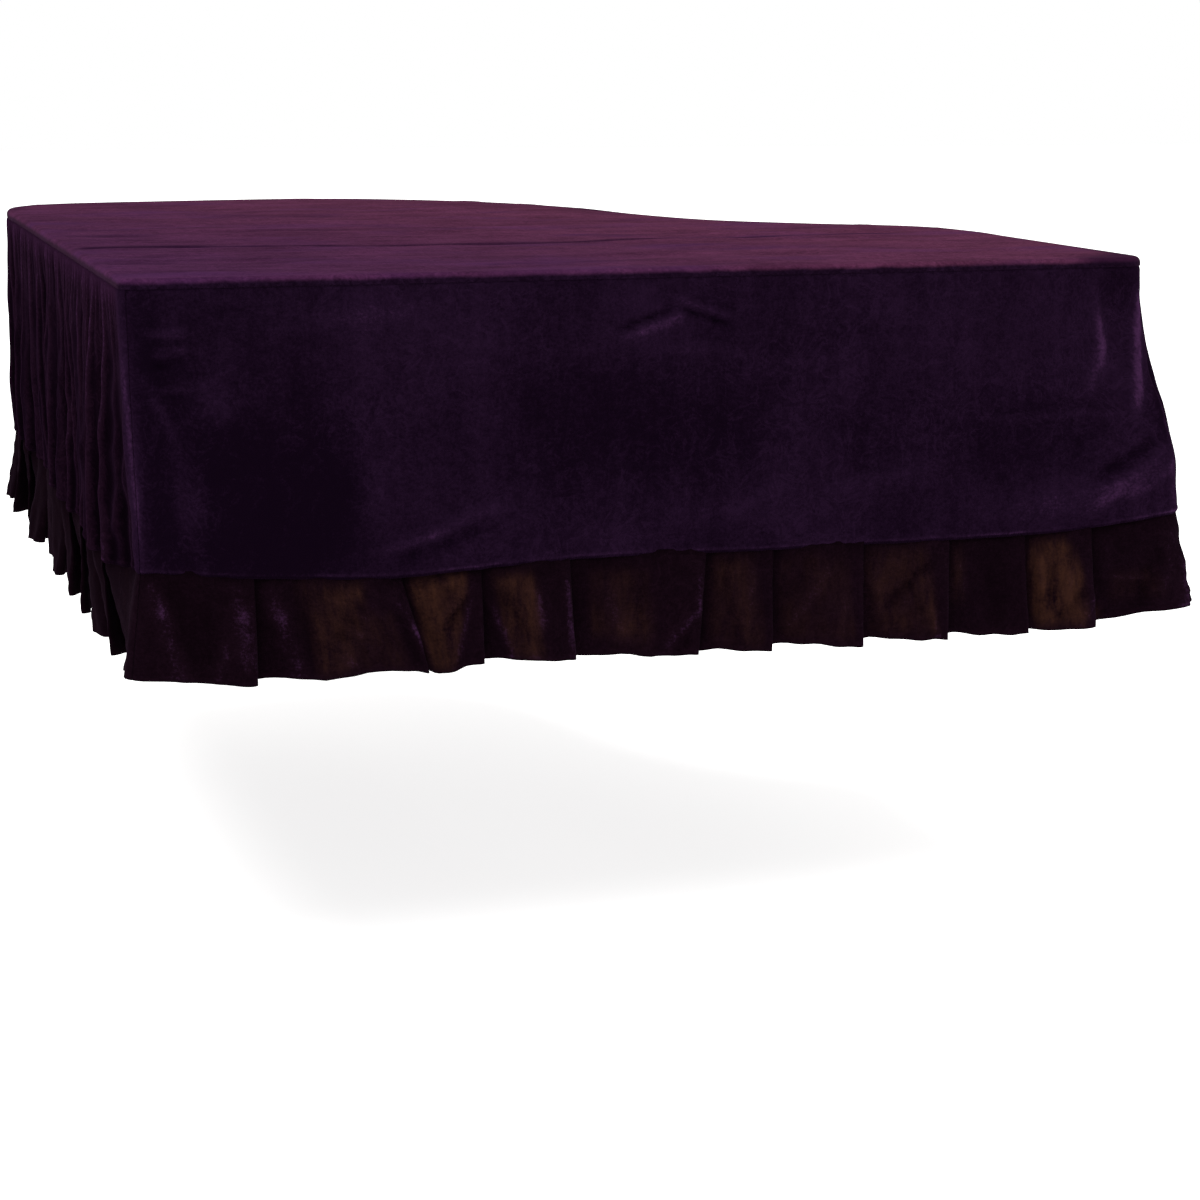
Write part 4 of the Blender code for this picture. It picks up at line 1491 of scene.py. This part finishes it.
def ruffle_velvet():
    """Darker and redder, with painted highlights and shade, and brown where light comes through, in streaks
    down from the seam.
    """
    material, graph = new_graph("ruffle_velvet")
    place = on_cloth(graph)
    shade, height, grain = pile(place)
    brushed = attribute(graph, "brushed")
    # Painted highlights and painted shade of the ruffle, kept at the points of the mesh.
    shade = shade + brushed * PILE_AND_LIGHT_WEIGHT
    colour = mix(shade.step(-0.1, 1.1), RUFFLE_DEEP, RUFFLE_BRIGHT)
    # Painted highlight on raised creases and folded edges.
    colour = mix((brushed + grain * 1.6).step(0.5, 2.4), colour, PAINTED_HIGHLIGHT)
    strokes = noise(scaled(place, (48.0, 12.0, 1.0)), 1.0, detail=5.0, roughness=0.7)
    lit = attribute(graph, "lit_through") * ((strokes - 0.5) * 1.8 + grain * 0.5 + 0.5 + brushed * 0.25)
    colour = mix(lit.step(-0.1, 1.2), colour, LIT_COLOUR)
    finish_velvet(graph, colour, height, RUFFLE_SHEEN, RUFFLE_TINT)
    return material


top.data.materials.append(top_velvet())
for pieces, material in ((drops, drop_velvet()), (ruffles, ruffle_velvet())):
    for piece in pieces:
        piece.data.materials.append(material)
print("materials:", sorted({piece.data.materials[0].name for piece in [top, *drops, *ruffles]}))

# %% [markdown]
# ## Floor, light and camera
#
# The cover hangs at the height at which it is used, over a pale floor that glows a little, as a light table
# does, so that its shadow stays faint. A wide sun from above and two soft lamps at the sides shape the folds.
# The camera looks a little down on the cover and along its spine side.

# %% Floor
FLOOR_Z = -1.045
FLOOR_HALF = 30.0
FLOOR_GLOW = 0.65
FLOOR_COLOUR = (0.86, 0.855, 0.845, 1.0)
WHITE = (1.0, 1.0, 1.0, 1.0)


def add_floor():
    """A large square that belongs to the stage."""
    mesh = bpy.data.meshes.new("floor")
    corners = [(x * FLOOR_HALF, y * FLOOR_HALF, FLOOR_Z) for x, y in ((-1, -1), (1, -1), (1, 1), (-1, 1))]
    mesh.from_pydata(corners, [], [(0, 1, 2, 3)])
    material = bpy.data.materials.new("floor_paint")
    material.use_nodes = True
    shader = material.node_tree.nodes["Principled BSDF"]
    shader.inputs["Base Color"].default_value = FLOOR_COLOUR
    shader.inputs["Roughness"].default_value = 0.9
    shader.inputs["Emission Color"].default_value = WHITE
    shader.inputs["Emission Strength"].default_value = FLOOR_GLOW
    mesh.materials.append(material)
    obj = put_in_scene(bpy.data.objects.new("floor", mesh))
    obj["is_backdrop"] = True


add_floor()
print("floor at", FLOOR_Z)

# %% Lamps
SUN_FROM = (-0.35, -0.60, 1.8)
SUN_STRENGTH = 3.0
SUN_WIDTH = math.radians(50)

# Lamps: name, place, size, watts
LAMPS = (
    ("lamp_left", (-4.2, -2.2, 1.2), 1.6, 45.0),
    ("lamp_right", (4.4, -2.2, 1.0), 1.6, 60.0),
)
LAMP_TARGET = (0.0, 0.0, -0.25)


def turn_from(place, target):
    """Matrix of an object at place whose -Z axis points at target."""
    forward = np.array(target) - np.array(place)
    forward /= np.linalg.norm(forward)
    side = np.cross(forward, (0.0, 0.0, 1.0))
    side /= np.linalg.norm(side)
    axes = Matrix(np.stack([side, np.cross(side, forward), -forward], axis=1).tolist())
    return Matrix.Translation(place) @ axes.to_4x4()


def add_lamp(name, kind, place, target, strength, **settings):
    """A lamp of this kind at place, turned to target."""
    lamp = bpy.data.lights.new(name, kind)
    lamp.energy = strength
    for key, value in settings.items():
        setattr(lamp, key, value)
    obj = put_in_scene(bpy.data.objects.new(name, lamp))
    obj.matrix_world = turn_from(place, target)


add_lamp("studio_light", "SUN", SUN_FROM, (0.0, 0.0, 0.0), SUN_STRENGTH, angle=SUN_WIDTH)
for name, place, size, watts in LAMPS:
    add_lamp(name, "AREA", place, LAMP_TARGET, watts, shape="DISK", size=size)
print("lamps:", 1 + len(LAMPS))

# %% World
WORLD_LIGHT = 0.45


def add_world():
    """White where the camera sees it, and dimmer as a light, so that the lamps still shape the folds."""
    world = bpy.data.worlds.new("studio")
    world.use_nodes = True
    tree = world.node_tree
    background = tree.nodes["Background"]
    seen = tree.nodes.new("ShaderNodeLightPath")
    strength = tree.nodes.new("ShaderNodeMapRange")
    strength.inputs["To Min"].default_value = WORLD_LIGHT
    strength.inputs["To Max"].default_value = 1.0
    tree.links.new(seen.outputs["Is Camera Ray"], strength.inputs["Value"])
    tree.links.new(strength.outputs["Result"], background.inputs["Strength"])
    background.inputs["Color"].default_value = WHITE
    bpy.context.scene.world = world


add_world()
bpy.context.scene.view_settings.view_transform = "Standard"
print("light of the world:", WORLD_LIGHT)

# %% Camera
CAMERA_PLACE = (-1.155, -3.941, 0.285)
CAMERA_HEADING = math.radians(18.99)
CAMERA_DOWN = math.radians(12.94)
CAMERA_ROLL = math.radians(0.47)
CAMERA_LENS = 70.83
CAMERA_SENSOR = 36.0
CAMERA_REACH = 200.0


def camera_axes():
    """The camera's right, up and backward directions, from its heading, tilt and roll."""
    h, p = CAMERA_HEADING, CAMERA_DOWN
    forward = np.array([math.sin(h) * math.cos(p), math.cos(h) * math.cos(p), -math.sin(p)])
    level = np.array([math.cos(h), -math.sin(h), 0.0])
    rise = np.cross(level, forward)
    right = level * math.cos(CAMERA_ROLL) + rise * math.sin(CAMERA_ROLL)
    up = rise * math.cos(CAMERA_ROLL) - level * math.sin(CAMERA_ROLL)
    return np.stack([right, up, -forward], axis=1)


camera = bpy.data.cameras.new("camera")
camera.sensor_width = CAMERA_SENSOR
camera.lens = CAMERA_LENS
camera.clip_end = CAMERA_REACH
camera_object = put_in_scene(bpy.data.objects.new("camera", camera))
camera_turn = Matrix(camera_axes().tolist()).to_4x4()
camera_object.matrix_world = Matrix.Translation(CAMERA_PLACE) @ camera_turn
bpy.context.scene.camera = camera_object
print("camera at", CAMERA_PLACE)

# %% [markdown]
# ## Sizes at the end
#
# The box of the dressed cover is printed beside the box of the imported model.

# %% Sizes and finish
visual_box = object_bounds()
boxes = {
    "cad": [[float(value) for value in corner] for corner in CAD_BOX],
    "visual": [[float(value) for value in corner] for corner in visual_box],
}
for key, box in boxes.items():
    print(key, [round(high - low, 4) for low, high in zip(*box)])
